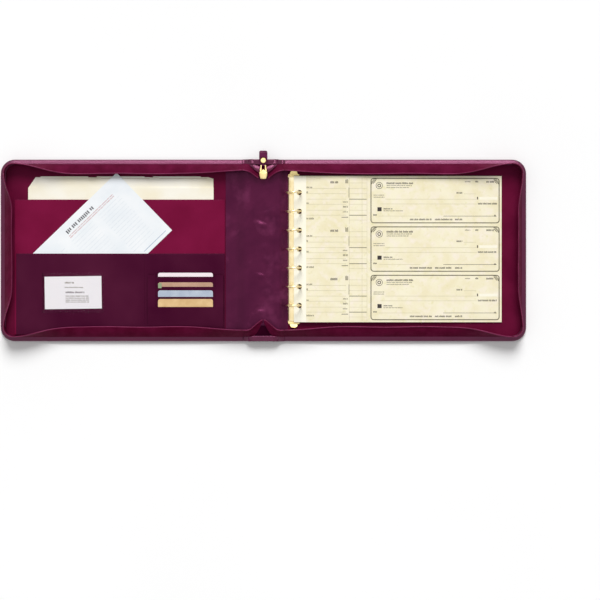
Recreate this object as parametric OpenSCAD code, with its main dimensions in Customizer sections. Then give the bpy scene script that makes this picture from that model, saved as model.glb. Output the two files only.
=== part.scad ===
// Checkbook portfolio with a seven-ring check binder, lying open on a table.
// Millimetres. +X runs to the right along the open case, +Y up the page, +Z up from the table.
// The origin is on the table, under the middle of the footprint.
// The right half is the back cover, the left half is the front cover, and the spine lies between.

/* [Case] */
// From the outer edge of the check pages to the outer edge of each cover
page_margin_x = 38.5; // [32:0.5:45]
// From the upper and lower edges of the check pages to the edges of the case
page_margin_y = 27.7; // [25:0.1:36]
// Radius of the outer corners of the covers
corner_r = 22; // [18:1:30]
// Thickness of the case when it is closed
closed_t = 50; // [48:1:60]
// Thickness of the outer leather
leather_t = 1.2; // [0.8:0.1:1.4]
// Thickness of the stiffening board
board_t = 2.4; // [2:0.1:2.6]
// Thickness of the lining
lining_t = 0.6; // [0.4:0.1:0.8]

/* [Rim] */
// Width of the padded roll along the edges
rim_w = 8.5; // [7:0.5:10]
// Height of the roll above the lining
rim_h = 3.2; // [2.4:0.1:3.6]
// Height of the short roll at each end of the spine
spine_rim_h = 2.2; // [1.6:0.1:2.4]
// Half the length of the short roll across the spine
spine_rim_half = 17; // [10:0.5:17]

/* [Spine] */
// Height of the spine above the table, which leaves room for the handle
spine_lift = 7; // [6.5:0.1:8]
// How far each edge of the spine stays inside the thickness of the closed case
spine_inset = 1.5; // [1:0.1:3]
// Thickness of the dark leather strips that run on from the spine over each cover
strip_t = 0.8; // [0.6:0.1:0.8]
// Reach of the strip on the back cover, from the middle of the spine
back_strip_reach = 38.2; // [34:0.1:38.2]
// Reach of the strip on the front cover, from the middle of the spine
front_strip_reach = 59; // [40:0.5:60]

/* [Zipper tape] */
// Thickness of the tape with its teeth
tape_t = 0.8; // [0.6:0.1:1]
// Inward lean of the upper and lower tapes when the case lies open, in degrees
edge_lean = 60; // [40:1:62]
// Inward lean of the front cover's side tape, in degrees
front_side_lean = 45; // [20:1:50]
// Inward lean of the back cover's side tape, in degrees
back_side_lean = 22; // [10:1:50]
// Length over which the tape rises from its lean to upright, before a corner
corner_run = 95; // [70:1:120]
// Half the length of the side tape that leans
side_tape_half = 60; // [40:1:80]
// Lean of the folded tape ends on the spine, in degrees
end_lean = 70; // [60:1:72]
// Length of the folded tape ends
end_len = 20; // [16:0.5:21]
// Half width of a folded tape end where it starts
end_root_half = 15; // [12:0.5:15]
// Half width of a folded tape end at its tip
end_tip_half = 4.5; // [3:0.5:5]

/* [Slider and pull] */
// Half width of the slider at its widest
slider_half = 6.75; // [5:0.25:7]
// Length of the slider
slider_len = 15.2; // [13:0.2:16]
// Thickness of each slider plate
slider_plate_t = 1; // [0.8:0.1:1.2]
// Radius of the pin that the pull turns on
pull_pin_r = 0.75; // [0.5:0.05:0.8]
// Thickness of the pull link
link_t = 1.2; // [0.8:0.1:1.3]
// From the pull's pin to the bar that the leather tab swings on
link_len = 9.7; // [9:0.1:12]
// From the pull's pin to the end of the leather tab
pull_len = 32.8; // [28:0.2:40]
// Width of the leather tab
tab_w = 12.8; // [10:0.2:16]
// Thickness of each leather layer of the tab
tab_layer_t = 0.8; // [0.6:0.1:0.9]
// Diameter of the rivet head on the tab
pull_rivet_d = 8.7; // [6:0.1:9.5]

/* [Ring metal] */
// Place of the ring metal, from the middle of the spine
ring_x = 47.5; // [47.5:0.1:50]
// Height of the middle ring above the middle of the case
ring_y = 2; // [-2:0.5:4]
// Number of rings
ring_count = 7; // [3:2:7]
// From the upper and lower edges of the check pages to the outermost rings
ring_margin = 26.1; // [22:0.1:40]
// Radius of a ring at the middle of its wire
ring_r = 11.2; // [10.5:0.1:12]
// Diameter of the ring wire
wire_d = 2.6; // [2:0.1:3]
// Width of the ring metal
metal_w = 18; // [18:0.5:18]
// How far the base plate runs past the check pages at each end
metal_over = 3.7; // [2:0.1:4.5]
// Height of the spring cover's crown above the lining
crown_h = 4.8; // [4.6:0.1:4.8]
// Thickness of the sheet metal
sheet_t = 0.8; // [0.6:0.1:0.8]
// Reach of each trigger's tongue beyond the base plate
tongue_reach = 4.5; // [3:0.5:6]

/* [Check pages] */
// Width of a check sheet with its stubs
page_w = 325; // [300:1:340]
// Height of a check sheet
page_h = 228.6; // [210:0.1:235]
// Thickness of the whole stack of sheets
stack_t = 1.6; // [1:0.1:2]
// Thickness of the top sheet
sheet_paper_t = 0.3; // [0.2:0.1:0.5]
// Diameter of the punched holes
hole_d = 8; // [7.6:0.1:8.4]
// From the bound edge of a sheet to the middle of its holes
hole_inset = 8.6; // [8:0.1:9]

/* [Pockets] */
// From the middle of the spine to the near edge of the pockets
pocket_near = 60.5; // [60.5:0.5:64]
// From the far edge of the pockets to the outer edge of the cover
pocket_in = 22; // [19:1:31]
// From the upper rim down to the mouth of the file pocket
file_drop = 54; // [44:0.5:73]
// Height of the front pocket
front_h = 126.5; // [111:0.5:141]
// Thickness of the pocket leather
pocket_t = 0.7; // [0.5:0.1:0.8]
// Depth of the file pocket
file_depth = 1.2; // [1.1:0.1:1.4]
// Depth of the front pocket
front_depth = 0.4; // [0.3:0.1:0.6]
// Width of the sewn border along the pockets
seam_w = 4; // [3:0.5:6]
// Middle of the sewn divider of the front pocket, from the middle of the spine
divider_reach = 186; // [185:1:190]

/* [Cards and window] */
// Width of a plastic card
card_w = 85.6; // [80:0.1:90]
// Height of a plastic card
card_h = 54; // [50:0.1:54]
// Thickness of a plastic card
card_t = 0.76; // [0.5:0.02:0.8]
// Radius of the corners of a plastic card
card_r = 3.2; // [2:0.1:5]
// Tilt of the cards in their slots, in degrees
card_tilt = 6; // [6:0.1:7]
// Distance from slot to slot
slot_pitch = 15.7; // [15.4:0.1:16]
// Thickness of the slot strips
slot_strip_t = 0.6; // [0.5:0.05:0.65]
// Width of the ID window
window_w = 96.4; // [94:0.2:110]
// Height of the ID window
window_h = 62.6; // [58:0.2:80]
// Width of the business card
id_card_w = 88.9; // [85:0.1:90]
// Height of the business card
id_card_h = 50.8; // [48:0.1:54]

/* [Papers] */
// From the near edge of the file pocket to the folders
folder_room = 17.5; // [10:0.5:24]
// Height of a folder's tab above its body
folder_tab_h = 17.3; // [10:0.1:18]
// Part of a folder's width that its three tabs leave free
folder_tab_room = 26; // [14:1:80]
// Thickness of a folder
folder_t = 0.3; // [0.2:0.05:0.3]
// Width of the order form
form_w = 125; // [110:1:130]
// Length of the order form
form_len = 205; // [180:1:208]
// Turn of the order form on the pocket, in degrees
form_turn = -46; // [-50:1:-40]

/* [Handle] */
// Width of the D-shaped handle tabs
handle_tab_w = 36; // [34:1:36]
// From the middle of the spine's length to the near end of a handle tab
handle_tab_near = 68; // [60:1:72]
// From the middle of the spine's length to the far end of a handle tab
handle_tab_far = 118; // [110:1:126]
// Thickness of a handle tab
handle_tab_t = 4.4; // [4:0.1:4.8]
// Width of the handle strap
strap_w = 30; // [24:1:32]
// Thickness of the handle strap
strap_t = 2.8; // [2:0.1:3]
// Half the length of the padded grip
grip_half = 50; // [44:1:54]
// Width of the grip in the middle
grip_w = 34; // [28:1:38]
// Thickness of the grip
grip_t = 5.5; // [4:0.1:5.8]

/* [Hidden] */

arc_steps = 96; // facets asked of a large round
small_steps = 48; // facets asked of a small round
overrun = 1; // how far a cut runs past the piece that it cuts
seat_gap = 0.3; // clearance between neighbours that move or that cloth covers
paper_gap = 0.1; // clearance between papers, cards and the leather beside them

// The case and the rings are as large as the check pages ask
cover_reach = ring_x + page_w + page_margin_x;
case_h = page_h + 2 * page_margin_y;
ring_pitch = (page_h - 2 * ring_margin) / (ring_count - 1);
metal_len = page_h + 2 * metal_over;

// Covers and spine, and the two fold axes between them
welt_gap = 0.4;
cover_t = leather_t + board_t + lining_t;
half_h = case_h / 2;
fold_x = closed_t / 2 - cover_t;
fold_z = cover_t;
spine_half = closed_t / 2 - spine_inset;
spine_top = spine_lift + cover_t;
cover_from = fold_x + norm([spine_half - fold_x, spine_top - fold_z]) + seat_gap;
strip_from = cover_from + seat_gap;
welt_r = spine_lift - fold_z - welt_gap;
rim_from = cover_from + rim_h * 0.72;
rim_inner_y = half_h - rim_w;
rim_top = cover_t + rim_h;

// Zipper tape: its foot runs along the inner edge of the rim
tape_z = rim_top + seat_gap;
tape_foot = 0.6 * tape_t;
tape_notch = 2.6;
foot_in = rim_w - rim_h * 0.4;
foot_x = cover_reach - foot_in;
foot_y = half_h - foot_in;
tape_len = closed_t / 2 - seat_gap / 2 - tape_z;
tape_corner_r = corner_r - foot_in;
tape_x_end = cover_reach - corner_r - corner_run;
tape_joint_gap = tape_t / 2;
end_y = rim_inner_y - tape_t * 0.6;
end_z = spine_top + seat_gap;
end_slope = (end_root_half - end_tip_half) / end_len;

// Slider, its bail and the pull, on the upper tape end
slider_from = end_len + tape_t * 4 - slider_len;
slider_to = slider_from + slider_len;
slider_gap = tape_t / 2 + paper_gap;
slider_top = slider_gap + slider_plate_t;
bail_v = slider_from + slider_len * 0.27;
bail_w = 2.4;
bail_r = 3.1;
bail_hole_r = 2.1;
pin_rise = pull_pin_r + seat_gap;
pin_y = end_y - bail_v * sin(end_lean) + (slider_top + pin_rise) * cos(end_lean);
pin_z = end_z + bail_v * cos(end_lean) + (slider_top + pin_rise) * sin(end_lean);
pull_droop = 6;
link_half = 5.2;
link_neck_half = 4.2;
link_window_half = 2.7;
link_shoulder = 3.2;
link_bar_r = 0.5;
link_bar_gap = 0.15;
tab_end_t = link_t + 2 * tab_layer_t;
tab_from = link_len + tab_end_t / 2 + 0.2 * tab_layer_t;
stop_over = 1;
stop_hold = 3;
rivet_v = 17.4;
rivet_shaft_r = 1.5;
rivet_head_t = 0.8;

// The pull hangs over the upper edge, so the case sits lower than the middle of its footprint
pull_tip_y = pin_y + pull_len * cos(pull_droop) + tab_end_t / 2 * sin(pull_droop);
case_y = -(pull_tip_y - half_h) / 2;

// Ring metal, measured from the lining it lies on
base_z = cover_t;
base_top = base_z + sheet_t;
crown_z = base_z + crown_h;
cover_end_gap = 6;
pivot_in = 1.4;
blade_lift = 0.4;
blade_end_gap = 1;
ring_lift = 0.2;
slot_room = 1.2;
cover_half_len = metal_len / 2 - cover_end_gap;
pivot_x = metal_w / 2 - pivot_in;
blade_bottom = base_top + blade_lift;
blade_top = blade_bottom + sheet_t;
ring_z = blade_top + ring_r + ring_lift;
lap_angle = 5;
lap_gap = 0.15;
ring_foot_angle = 250;
slot_w = wire_d + slot_room;
slot_from = 2.4;
post_r = 1.6;
post_y = ring_pitch * (ring_count - 1) / 2 + ring_pitch * 0.4;
trigger_w = 17;
trigger_in = 3;
trigger_lift = 1.5;
trigger_y = metal_len / 2 - trigger_in;
trigger_z = base_top + trigger_lift;
trigger_bar = 4;
tongue_w = 11.4;
tongue_side = 1.5;
tongue_rise = 1.6;
tongue_end = metal_len / 2 + tongue_reach;

// Check pages hang in the rings and slope down to the lining at their far edge
page_lift = 0.4;
page_z = crown_z + page_lift;
page_y = ring_y;
page_tilt = asin((page_z - base_z - seat_gap) / page_w);

// Pockets and papers on the front cover
file_z = cover_t + file_depth;
file_top = file_z + pocket_t;
front_z = file_top + front_depth;
front_top = front_z + pocket_t;
pocket_gap = 2;
front_in = 2.5;
pocket_foot_y = pocket_gap - rim_inner_y;
pocket_far = cover_reach - pocket_in;
file_mouth_y = rim_inner_y - file_drop;
front_mouth_y = pocket_foot_y + front_h;
front_far = pocket_far - front_in;
folder_gap = 0.05;
folder_in = 21;
folder_foot_gap = 2.5;
folder_rise = 19;
folder_far = pocket_far - folder_in;
folder_w = folder_far - pocket_near - folder_room;
folder_tab_w = (folder_w - folder_tab_room) / 3;
folder_foot_y = pocket_foot_y + seam_w + folder_foot_gap;
folder_top_y = file_mouth_y + folder_rise;
form_in = 129;
form_rise = 10.3;
form_x = form_in - pocket_far;
form_y = front_mouth_y + form_rise;
form_t = 0.15;

// Card slots: each strip's lip lies slot_pitch below the one before it
card_in = 61;
card_x = -pocket_near - card_in;
panel_half = 59;
panel_drop = 33;
panel_foot_gap = 1.5;
strip_side = 4;
lip_drop = 36.2;
card_gap = 0.15;
panel_top_y = front_mouth_y - panel_drop;
panel_foot_y = pocket_foot_y + panel_foot_gap;
strip_half = card_w / 2 + strip_side;
lip_y = front_mouth_y - lip_drop;
card_rise = [6.2, 6.9, 10.1, 12.4];
panel_z = file_top + seat_gap;
sole_t = 0.35;
wedge_gap = 0.5;
card_foot_y = lip_y + card_rise[0] - card_h;
card_base_z = panel_z + sole_t + card_gap + (lip_y - card_foot_y) * tan(card_tilt);
strip_rise = card_t + card_gap;
lip_z = card_base_z + strip_rise + slot_strip_t;

// ID window on the front pocket
window_x = -297.4;
window_drop = 61.6;
window_y = front_mouth_y - window_drop;
window_border = 2.2;
window_depth = 0.6;
vinyl_t = 0.3;
id_card_t = 0.4;
id_card_x = window_x;
id_card_rise = 0.6;
id_card_y = window_y + id_card_rise;
id_card_turn = 0.8;

// Handle
handle_z = spine_lift - handle_tab_t;
strap_z = handle_z + (handle_tab_t - strap_t) / 2;
strap_hold = 18;
strap_gap = 0.4;
strap_reach = handle_tab_far - strap_hold;
strap_from = grip_half + strap_gap;
grip_end_w = 26;
grip_edge_r = 2.2;

// Colours
leather = "#5a1f3c";
dark_leather = "#431430";
lining_red = "#6a0a2c";
tape_red = "#5f1235";
brass = "#dcc48c";
paper = "#ece6d2";
card_white = "#f7f4ee";

// Everything is drawn about the middle of the case and then set over the footprint
module in_case() translate([0, case_y, 0]) children();
module on_front() mirror([1, 0, 0]) children();

// One cover plate with rounded outer corners, set in from the outer edge
module cover_outline(inset, from = cover_from) {
    r = corner_r - inset;
    far_x = cover_reach - inset;
    half = half_h - inset;
    translate([from, -half]) square([far_x - r - from, 2 * half]);
    translate([from, r - half]) square([far_x - from, 2 * (half - r)]);
    for (side = [-1, 1]) translate([far_x - r, side * (half - r)]) circle(r = r, $fn = arc_steps);
}
module cover_plate(z, t, inset) translate([0, 0, z]) linear_extrude(t) cover_outline(inset);

// Outer leather: a flat skin turned up round the board's three free edges. Beside the spine it
// runs on under the fold axis, and a rolled welt on it fills the crease.
module cover_leather() {
    cover_plate(0, leather_t, 0);
    translate([0, 0, leather_t]) linear_extrude(cover_t - leather_t) difference() {
        cover_outline(0);
        cover_outline(leather_t, cover_from - overrun);
    }
    translate([fold_x - leather_t / 2, -half_h, 0])
        cube([cover_from - fold_x + leather_t, case_h, leather_t]);
    translate([fold_x - leather_t / 2, -half_h, 0]) cube([leather_t, case_h, fold_z]);
    translate([fold_x, -half_h, fold_z]) rotate([-90, 0, 0])
        cylinder(r = welt_r, h = case_h, $fn = small_steps);
}
module cover_board() cover_plate(leather_t, board_t, leather_t);
module cover_lining() cover_plate(leather_t + board_t, lining_t, leather_t);

// Section of a padded roll: flat under, half round along both upper edges
module roll_section(w, h) {
    r = h / 2;
    square([w, h - r]);
    translate([r, 0]) square([w - 2 * r, h]);
    for (x = [r, w - r]) translate([x, h - r]) circle(r = r, $fn = small_steps);
}

// The roll runs along the lower, outer and upper edge of a cover
module cover_rim() {
    far = cover_reach - corner_r;
    translate([0, 0, cover_t]) {
        for (side = [0, 1]) mirror([0, side, 0]) {
            translate([rim_from, -half_h, 0]) rotate([90, 0, 90])
                linear_extrude(far - rim_from) roll_section(rim_w, rim_h);
            translate([far, corner_r - half_h, 0]) rotate([0, 0, -90])
                rotate_extrude(angle = 90, $fn = arc_steps)
                    translate([corner_r - rim_w, 0]) roll_section(rim_w, rim_h);
        }
        translate([cover_reach, half_h - corner_r, 0]) rotate([90, 0, 180])
            mirror([0, 0, 1]) linear_extrude(2 * (half_h - corner_r)) roll_section(rim_w, rim_h);
    }
}

module crease_strip(reach) translate([strip_from, seat_gap - rim_inner_y, cover_t])
    cube([reach - strip_from, 2 * (rim_inner_y - seat_gap), strip_t]);

// Flat tape along the upper edge, cut back near the spine round the folded tape end and slider
module edge_tape(lean) {
    notch_z = closed_t / 2 - slider_half - seat_gap * 2.5;
    slope_x = rim_from + (notch_z - tape_z - tape_foot - tape_notch) / end_slope;
    clear_x = fold_x + end_z - fold_z + slider_to + seat_gap * 3;
    translate([0, foot_y, tape_z]) rotate([90 + lean, 0, 0]) translate([0, 0, -tape_t / 2])
        linear_extrude(tape_t) polygon([
            [rim_from, tape_foot], [tape_x_end - tape_joint_gap, tape_foot],
            [tape_x_end - tape_joint_gap, tape_len], [clear_x, tape_len],
            [clear_x, notch_z - tape_z], [slope_x, notch_z - tape_z], [rim_from, tape_foot + tape_notch]
        ]);
}

module side_tape(lean) translate([foot_x, 0, tape_z]) rotate([0, 0, -90])
    rotate([90 + lean, 0, 0]) translate([tape_joint_gap - side_tape_half, tape_foot, -tape_t / 2])
        cube([2 * (side_tape_half - tape_joint_gap), tape_len - tape_foot, tape_t]);

// Tape round an upper corner: [x, y, heading, lean] stations from the side tape to the edge tape.
// The lean eases off to upright at the corner and back again.
function ease(t) = t * t * (3 - 2 * t);
function corner_stations(lean, steps = 8) = let (
    cx = cover_reach - corner_r,
    cy = half_h - corner_r
) concat(
    [for (i = [0:steps - 1]) let (t = i / steps)
        [foot_x, side_tape_half + t * (cy - side_tape_half), 0, lean * (1 - ease(t))]],
    [for (i = [0:steps - 1]) let (a = 90 * i / steps)
        [cx + tape_corner_r * cos(a), cy + tape_corner_r * sin(a), a, 0]],
    [for (i = [0:steps]) let (t = i / steps)
        [cx - t * corner_run, foot_y, 90, edge_lean * ease(t)]]
);
// The four corners of the tape's section at one station
function tape_section(s) = let (
    inward = [-cos(s[2]), -sin(s[2]), 0],
    up = inward * sin(s[3]) + [0, 0, cos(s[3])],
    out = inward * cos(s[3]) - [0, 0, sin(s[3])],
    foot = [s[0], s[1], tape_z]
) [for (c = [[tape_foot, -1], [tape_foot, 1], [tape_len, 1], [tape_len, -1]])
    foot + up * c[0] + out * (c[1] * tape_t / 2)];

module corner_tape(lean) {
    stations = corner_stations(lean);
    n = len(stations);
    points = [for (s = stations) each tape_section(s)];
    // The last wall is cut along the other diagonal, which is the same one seen from its side,
    // so that the tape keeps its thickness where it twists
    walls = [for (i = [0:n - 2]) for (k = [0:3]) let (
        a = 4 * i + k,
        b = 4 * i + (k + 1) % 4
    ) each k == 3 ? [[a, b, a + 4], [b, b + 4, a + 4]] : [[a, b, b + 4], [a, b + 4, a + 4]]];
    caps = [[2, 1, 0], [3, 2, 0], [4 * n - 4, 4 * n - 3, 4 * n - 2], [4 * n - 4, 4 * n - 2, 4 * n - 1]];
    polyhedron(points, concat(walls, caps));
}
module corner_tapes(lean) for (side = [0, 1]) mirror([0, side, 0]) corner_tape(lean);

// Base plate of the ring metal: rounded ends and a shallow lip along each side
module ring_base() color(brass) in_case() translate([ring_x, ring_y, base_z]) {
    straight = metal_len / 2 - metal_w / 4;
    linear_extrude(sheet_t) {
        translate([-metal_w / 2, -straight]) square([metal_w, 2 * straight]);
        translate([-metal_w / 4, -metal_len / 2]) square([metal_w / 2, metal_len]);
        for (x = [-1, 1], y = [-1, 1]) translate([x * metal_w / 4, y * straight])
            circle(r = metal_w / 4, $fn = small_steps);
    }
}

// Spring cover: an arched sheet with two raised beads, slotted where the rings come through
crown_shares = [[0.5, 0], [0.5, 0.4], [0.44, 0.66], [0.4, 0.82], [0.345, 0.86], [0.335, 0.93],
    [0.3, 0.93], [0.29, 0.9], [0.22, 1], [0, 1]];
function crown_points(w, h) = concat(
    [for (s = crown_shares) [s[0] * w, s[1] * h]],
    [for (i = [len(crown_shares) - 2:-1:0]) [-crown_shares[i][0] * w, crown_shares[i][1] * h]]
);
module ring_cover() color(brass) in_case() translate([ring_x, ring_y, base_top]) difference() {
    arch_h = crown_z - base_top;
    rotate([90, 0, 0]) translate([0, 0, -cover_half_len]) linear_extrude(2 * cover_half_len)
        difference() {
            polygon(crown_points(metal_w, arch_h));
            polygon([for (p = crown_points(metal_w - 2 * sheet_t, arch_h - sheet_t))
                [p[0], p[1] == 0 ? -overrun : p[1]]]);
        }
    for (i = [0:ring_count - 1], side = [0, 1]) mirror([side, 0, 0])
        translate([slot_from, (i - (ring_count - 1) / 2) * ring_pitch - slot_w / 2, sheet_t / 2])
            cube([metal_w, slot_w, arch_h]);
}

// Posts that hold the spring cover down on the base plate
module ring_posts() color(brass) in_case() for (side = [-1, 1])
    translate([ring_x, ring_y + side * post_y, base_top])
        cylinder(r = post_r, h = crown_z - sheet_t - base_top, $fn = small_steps);

// Half of one ring. The left half ends in an upper tongue that laps over the right half's lower one.
module ring_half(left) {
    from = left ? 90 - lap_angle : 90 + lap_gap;
    difference() {
        translate([0, 0, ring_z]) rotate([90, 0, 0]) rotate([0, 0, from]) difference() {
            rotate_extrude(angle = ring_foot_angle - from, $fn = arc_steps)
                translate([ring_r, 0]) circle(d = wire_d, $fn = small_steps);
            rotate([0, 0, -lap_angle]) rotate_extrude(angle = 2 * lap_angle, $fn = arc_steps)
                translate([ring_r + (left ? -wire_d + lap_gap / 2 : -lap_gap / 2), -wire_d])
                    square([wire_d, 2 * wire_d]);
        }
        translate([-ring_r, -wire_d, blade_top - 2 * wire_d]) cube([2 * ring_r, 2 * wire_d, 2 * wire_d]);
    }
}
module ring_set(left) color(brass) in_case() translate([ring_x, ring_y, 0])
    for (i = [0:ring_count - 1]) translate([0, (i - (ring_count - 1) / 2) * ring_pitch, 0])
        mirror([left ? 0 : 1, 0, 0]) ring_half(left);
module left_rings() ring_set(true);
module right_rings() ring_set(false);

// Blade that carries one row of half rings, notched round the posts
module ring_blade(side) color(brass) in_case() translate([ring_x, ring_y, blade_bottom])
    mirror([side, 0, 0]) difference() {
        half = cover_half_len - blade_end_gap;
        translate([-pivot_x, -half, 0]) cube([pivot_x - lap_gap, 2 * half, sheet_t]);
        for (s = [-1, 1]) translate([0, s * post_y, -overrun])
            cylinder(r = post_r + seat_gap * 2, h = sheet_t + 2 * overrun, $fn = small_steps);
    }
module left_blade() ring_blade(0);
module right_blade() ring_blade(1);

// Trigger: a bar across the end of the metal on a pivot, with a rounded tongue to press
module trigger() color(brass) {
    tongue_y = tongue_end - trigger_y;
    tongue_round = tongue_w / 2 - tongue_side;
    translate([-trigger_w / 2, 0, 0]) rotate([0, 90, 0])
        cylinder(d = sheet_t * 2.4, h = trigger_w, $fn = small_steps);
    intersection() {
        translate([-trigger_w / 2, 0, 0]) rotate([90, 0, 90]) linear_extrude(trigger_w) polygon([
            [-trigger_bar / 2, -sheet_t / 2], [trigger_bar / 2, -sheet_t / 2], [tongue_y, tongue_rise - sheet_t / 2],
            [tongue_y, tongue_rise + sheet_t], [trigger_bar / 2, sheet_t], [-trigger_bar / 2, sheet_t]
        ]);
        translate([0, 0, -metal_w / 2]) linear_extrude(metal_w) {
            translate([-trigger_w / 2, -trigger_bar / 2]) square([trigger_w, trigger_bar]);
            translate([-tongue_w / 2, 0]) square([tongue_w, tongue_y - tongue_round]);
            translate([tongue_round - tongue_w / 2, 0]) square([tongue_w - 2 * tongue_round, tongue_y]);
            for (x = [-1, 1]) translate([x * (tongue_w / 2 - tongue_round), tongue_y - tongue_round])
                circle(r = tongue_round, $fn = small_steps);
        }
    }
}
module top_trigger() in_case() translate([ring_x, ring_y + trigger_y, trigger_z]) trigger();
module bottom_trigger() in_case() translate([ring_x, ring_y - trigger_y, trigger_z])
    mirror([0, 1, 0]) trigger();

// A sheet or stack of sheets punched for the rings, between two heights of the stack
module check_paper(from, to) in_case() translate([ring_x, page_y, page_z]) rotate([0, page_tilt, 0])
    translate([0, -page_h / 2, from]) difference() {
        cube([page_w, page_h, to - from]);
        for (i = [0:ring_count - 1])
            translate([hole_inset, page_h / 2 + (i - (ring_count - 1) / 2) * ring_pitch, -overrun])
                cylinder(d = hole_d, h = to - from + 2 * overrun, $fn = small_steps);
    }
module top_check_sheet() color(paper) check_paper(stack_t - sheet_paper_t, stack_t);
module check_stack() color("#e2d9bb") check_paper(0, stack_t - sheet_paper_t);

// Back cover
module back_leather() color(leather) in_case() cover_leather();
module back_board() color("#8b7a62") in_case() cover_board();
module back_lining() color(lining_red) in_case() cover_lining();
module back_rim() color(leather) in_case() cover_rim();
module back_crease_strip() color(dark_leather) in_case() crease_strip(back_strip_reach);
module back_corner_tapes() color(tape_red) in_case() corner_tapes(back_side_lean);
module back_top_tape() color(tape_red) in_case() edge_tape(edge_lean);
module back_bottom_tape() color(tape_red) in_case() mirror([0, 1, 0]) edge_tape(edge_lean);
module back_side_tape() color(tape_red) in_case() side_tape(back_side_lean);

// Front cover
module front_leather() color(leather) in_case() on_front() cover_leather();
module front_board() color("#8b7a62") in_case() on_front() cover_board();
module front_lining() color(lining_red) in_case() on_front() cover_lining();
module front_rim() color(leather) in_case() on_front() cover_rim();
module front_crease_strip() color(dark_leather) in_case() on_front() crease_strip(front_strip_reach);
module front_corner_tapes() color(tape_red) in_case() on_front() corner_tapes(front_side_lean);
module front_top_tape() color(tape_red) in_case() on_front() edge_tape(edge_lean);
module front_bottom_tape() color(tape_red) in_case() on_front() mirror([0, 1, 0]) edge_tape(edge_lean);
module front_side_tape() color(tape_red) in_case() on_front() side_tape(front_side_lean);

// Spine: three layers, and a short padded roll across each end
module spine_layer(z, t) in_case() translate([-spine_half, -half_h, z])
    cube([2 * spine_half, case_h, t]);
module spine_leather() color(leather) spine_layer(spine_lift, leather_t);
module spine_board() color("#8b7a62") spine_layer(spine_lift + leather_t, board_t);
module spine_lining() color(dark_leather) spine_layer(spine_lift + leather_t + board_t, lining_t);
module spine_rims() color(leather) in_case() for (side = [0, 1]) mirror([0, side, 0])
    translate([-spine_rim_half, -half_h, spine_top]) rotate([90, 0, 90])
        linear_extrude(2 * spine_rim_half) roll_section(rim_w, spine_rim_h);

// Frame of a folded tape end: x across, y along the tape away from the spine, z over its upper face
module on_tape_end() translate([0, end_y, end_z]) rotate([90 - end_lean, 0, 180]) children();
module end_tape() on_tape_end() translate([0, 0, -tape_t / 2]) linear_extrude(tape_t) polygon([
    [-end_root_half, tape_foot], [end_root_half, tape_foot],
    [end_tip_half, end_len], [-end_tip_half, end_len]
]);
module top_end_tape() color(tape_red) in_case() end_tape();
module bottom_end_tape() color(tape_red) in_case() mirror([0, 1, 0]) end_tape();

// Slider: two shield-shaped plates joined by a post past the tip of the tape, and a bail on top
slider_shares = [[0.7, 0], [1, 0.32], [0.9, 0.66], [0.34, 1]];
module slider_plate() linear_extrude(slider_plate_t) polygon(concat(
    [for (s = slider_shares) [s[0] * slider_half, slider_from + s[1] * slider_len]],
    [for (i = [len(slider_shares) - 1:-1:0])
        [-slider_shares[i][0] * slider_half, slider_from + slider_shares[i][1] * slider_len]]
));
module slider_body() color(brass) in_case() on_tape_end() {
    translate([0, 0, slider_gap]) slider_plate();
    translate([0, 0, -slider_top]) slider_plate();
    translate([0, (end_len + slider_to) / 2, -slider_gap])
        cylinder(r = (slider_to - end_len) / 2 - seat_gap * 2, h = 2 * slider_gap, $fn = small_steps);
    translate([-bail_w / 2, bail_v, slider_top]) rotate([90, 0, 90]) linear_extrude(bail_w)
        difference() {
            circle(r = bail_r, $fn = small_steps);
            circle(r = bail_hole_r, $fn = small_steps);
            translate([-bail_r, -2 * bail_r]) square(2 * bail_r);
        }
}

// Folded metal stop that closes the other end of the zipper
module bottom_stop() color(brass) in_case() mirror([0, 1, 0]) on_tape_end() difference() {
    w = 2 * (end_tip_half + stop_over);
    translate([-w / 2, end_len - stop_hold, -tape_t]) cube([w, stop_hold + stop_over, 2 * tape_t]);
    translate([-w, end_len - stop_hold - overrun, -slider_gap])
        cube([2 * w, stop_hold + overrun + paper_gap, 2 * slider_gap]);
}

// Frame of the pull: it turns about the pin under the bail, and y runs out to its tip
module on_pull() translate([0, pin_y, pin_z]) rotate([-pull_droop, 0, 0]) children();
module across_pull(y, r, half) translate([-half, y, 0]) rotate([0, 90, 0])
    cylinder(r = r, h = 2 * half, $fn = small_steps);

// Brass link: a pin under the bail, two arms, and a bar that the leather tab is folded round
module pull_link() color(brass) in_case() on_pull() {
    back = pull_pin_r * 0.93;
    across_pull(0, pull_pin_r, link_half);
    across_pull(link_len, link_bar_r, link_neck_half);
    difference() {
        translate([0, 0, -link_t / 2]) linear_extrude(link_t) polygon([
            [-link_half, -back], [link_half, -back], [link_half, link_shoulder],
            [link_neck_half, 2.2 * link_shoulder], [link_neck_half, link_len],
            [-link_neck_half, link_len], [-link_neck_half, 2.2 * link_shoulder],
            [-link_half, link_shoulder]
        ]);
        translate([-link_window_half, -2 * back, -link_t])
            cube([2 * link_window_half, link_len + 2 * back + overrun, 2 * link_t]);
    }
}

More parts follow.
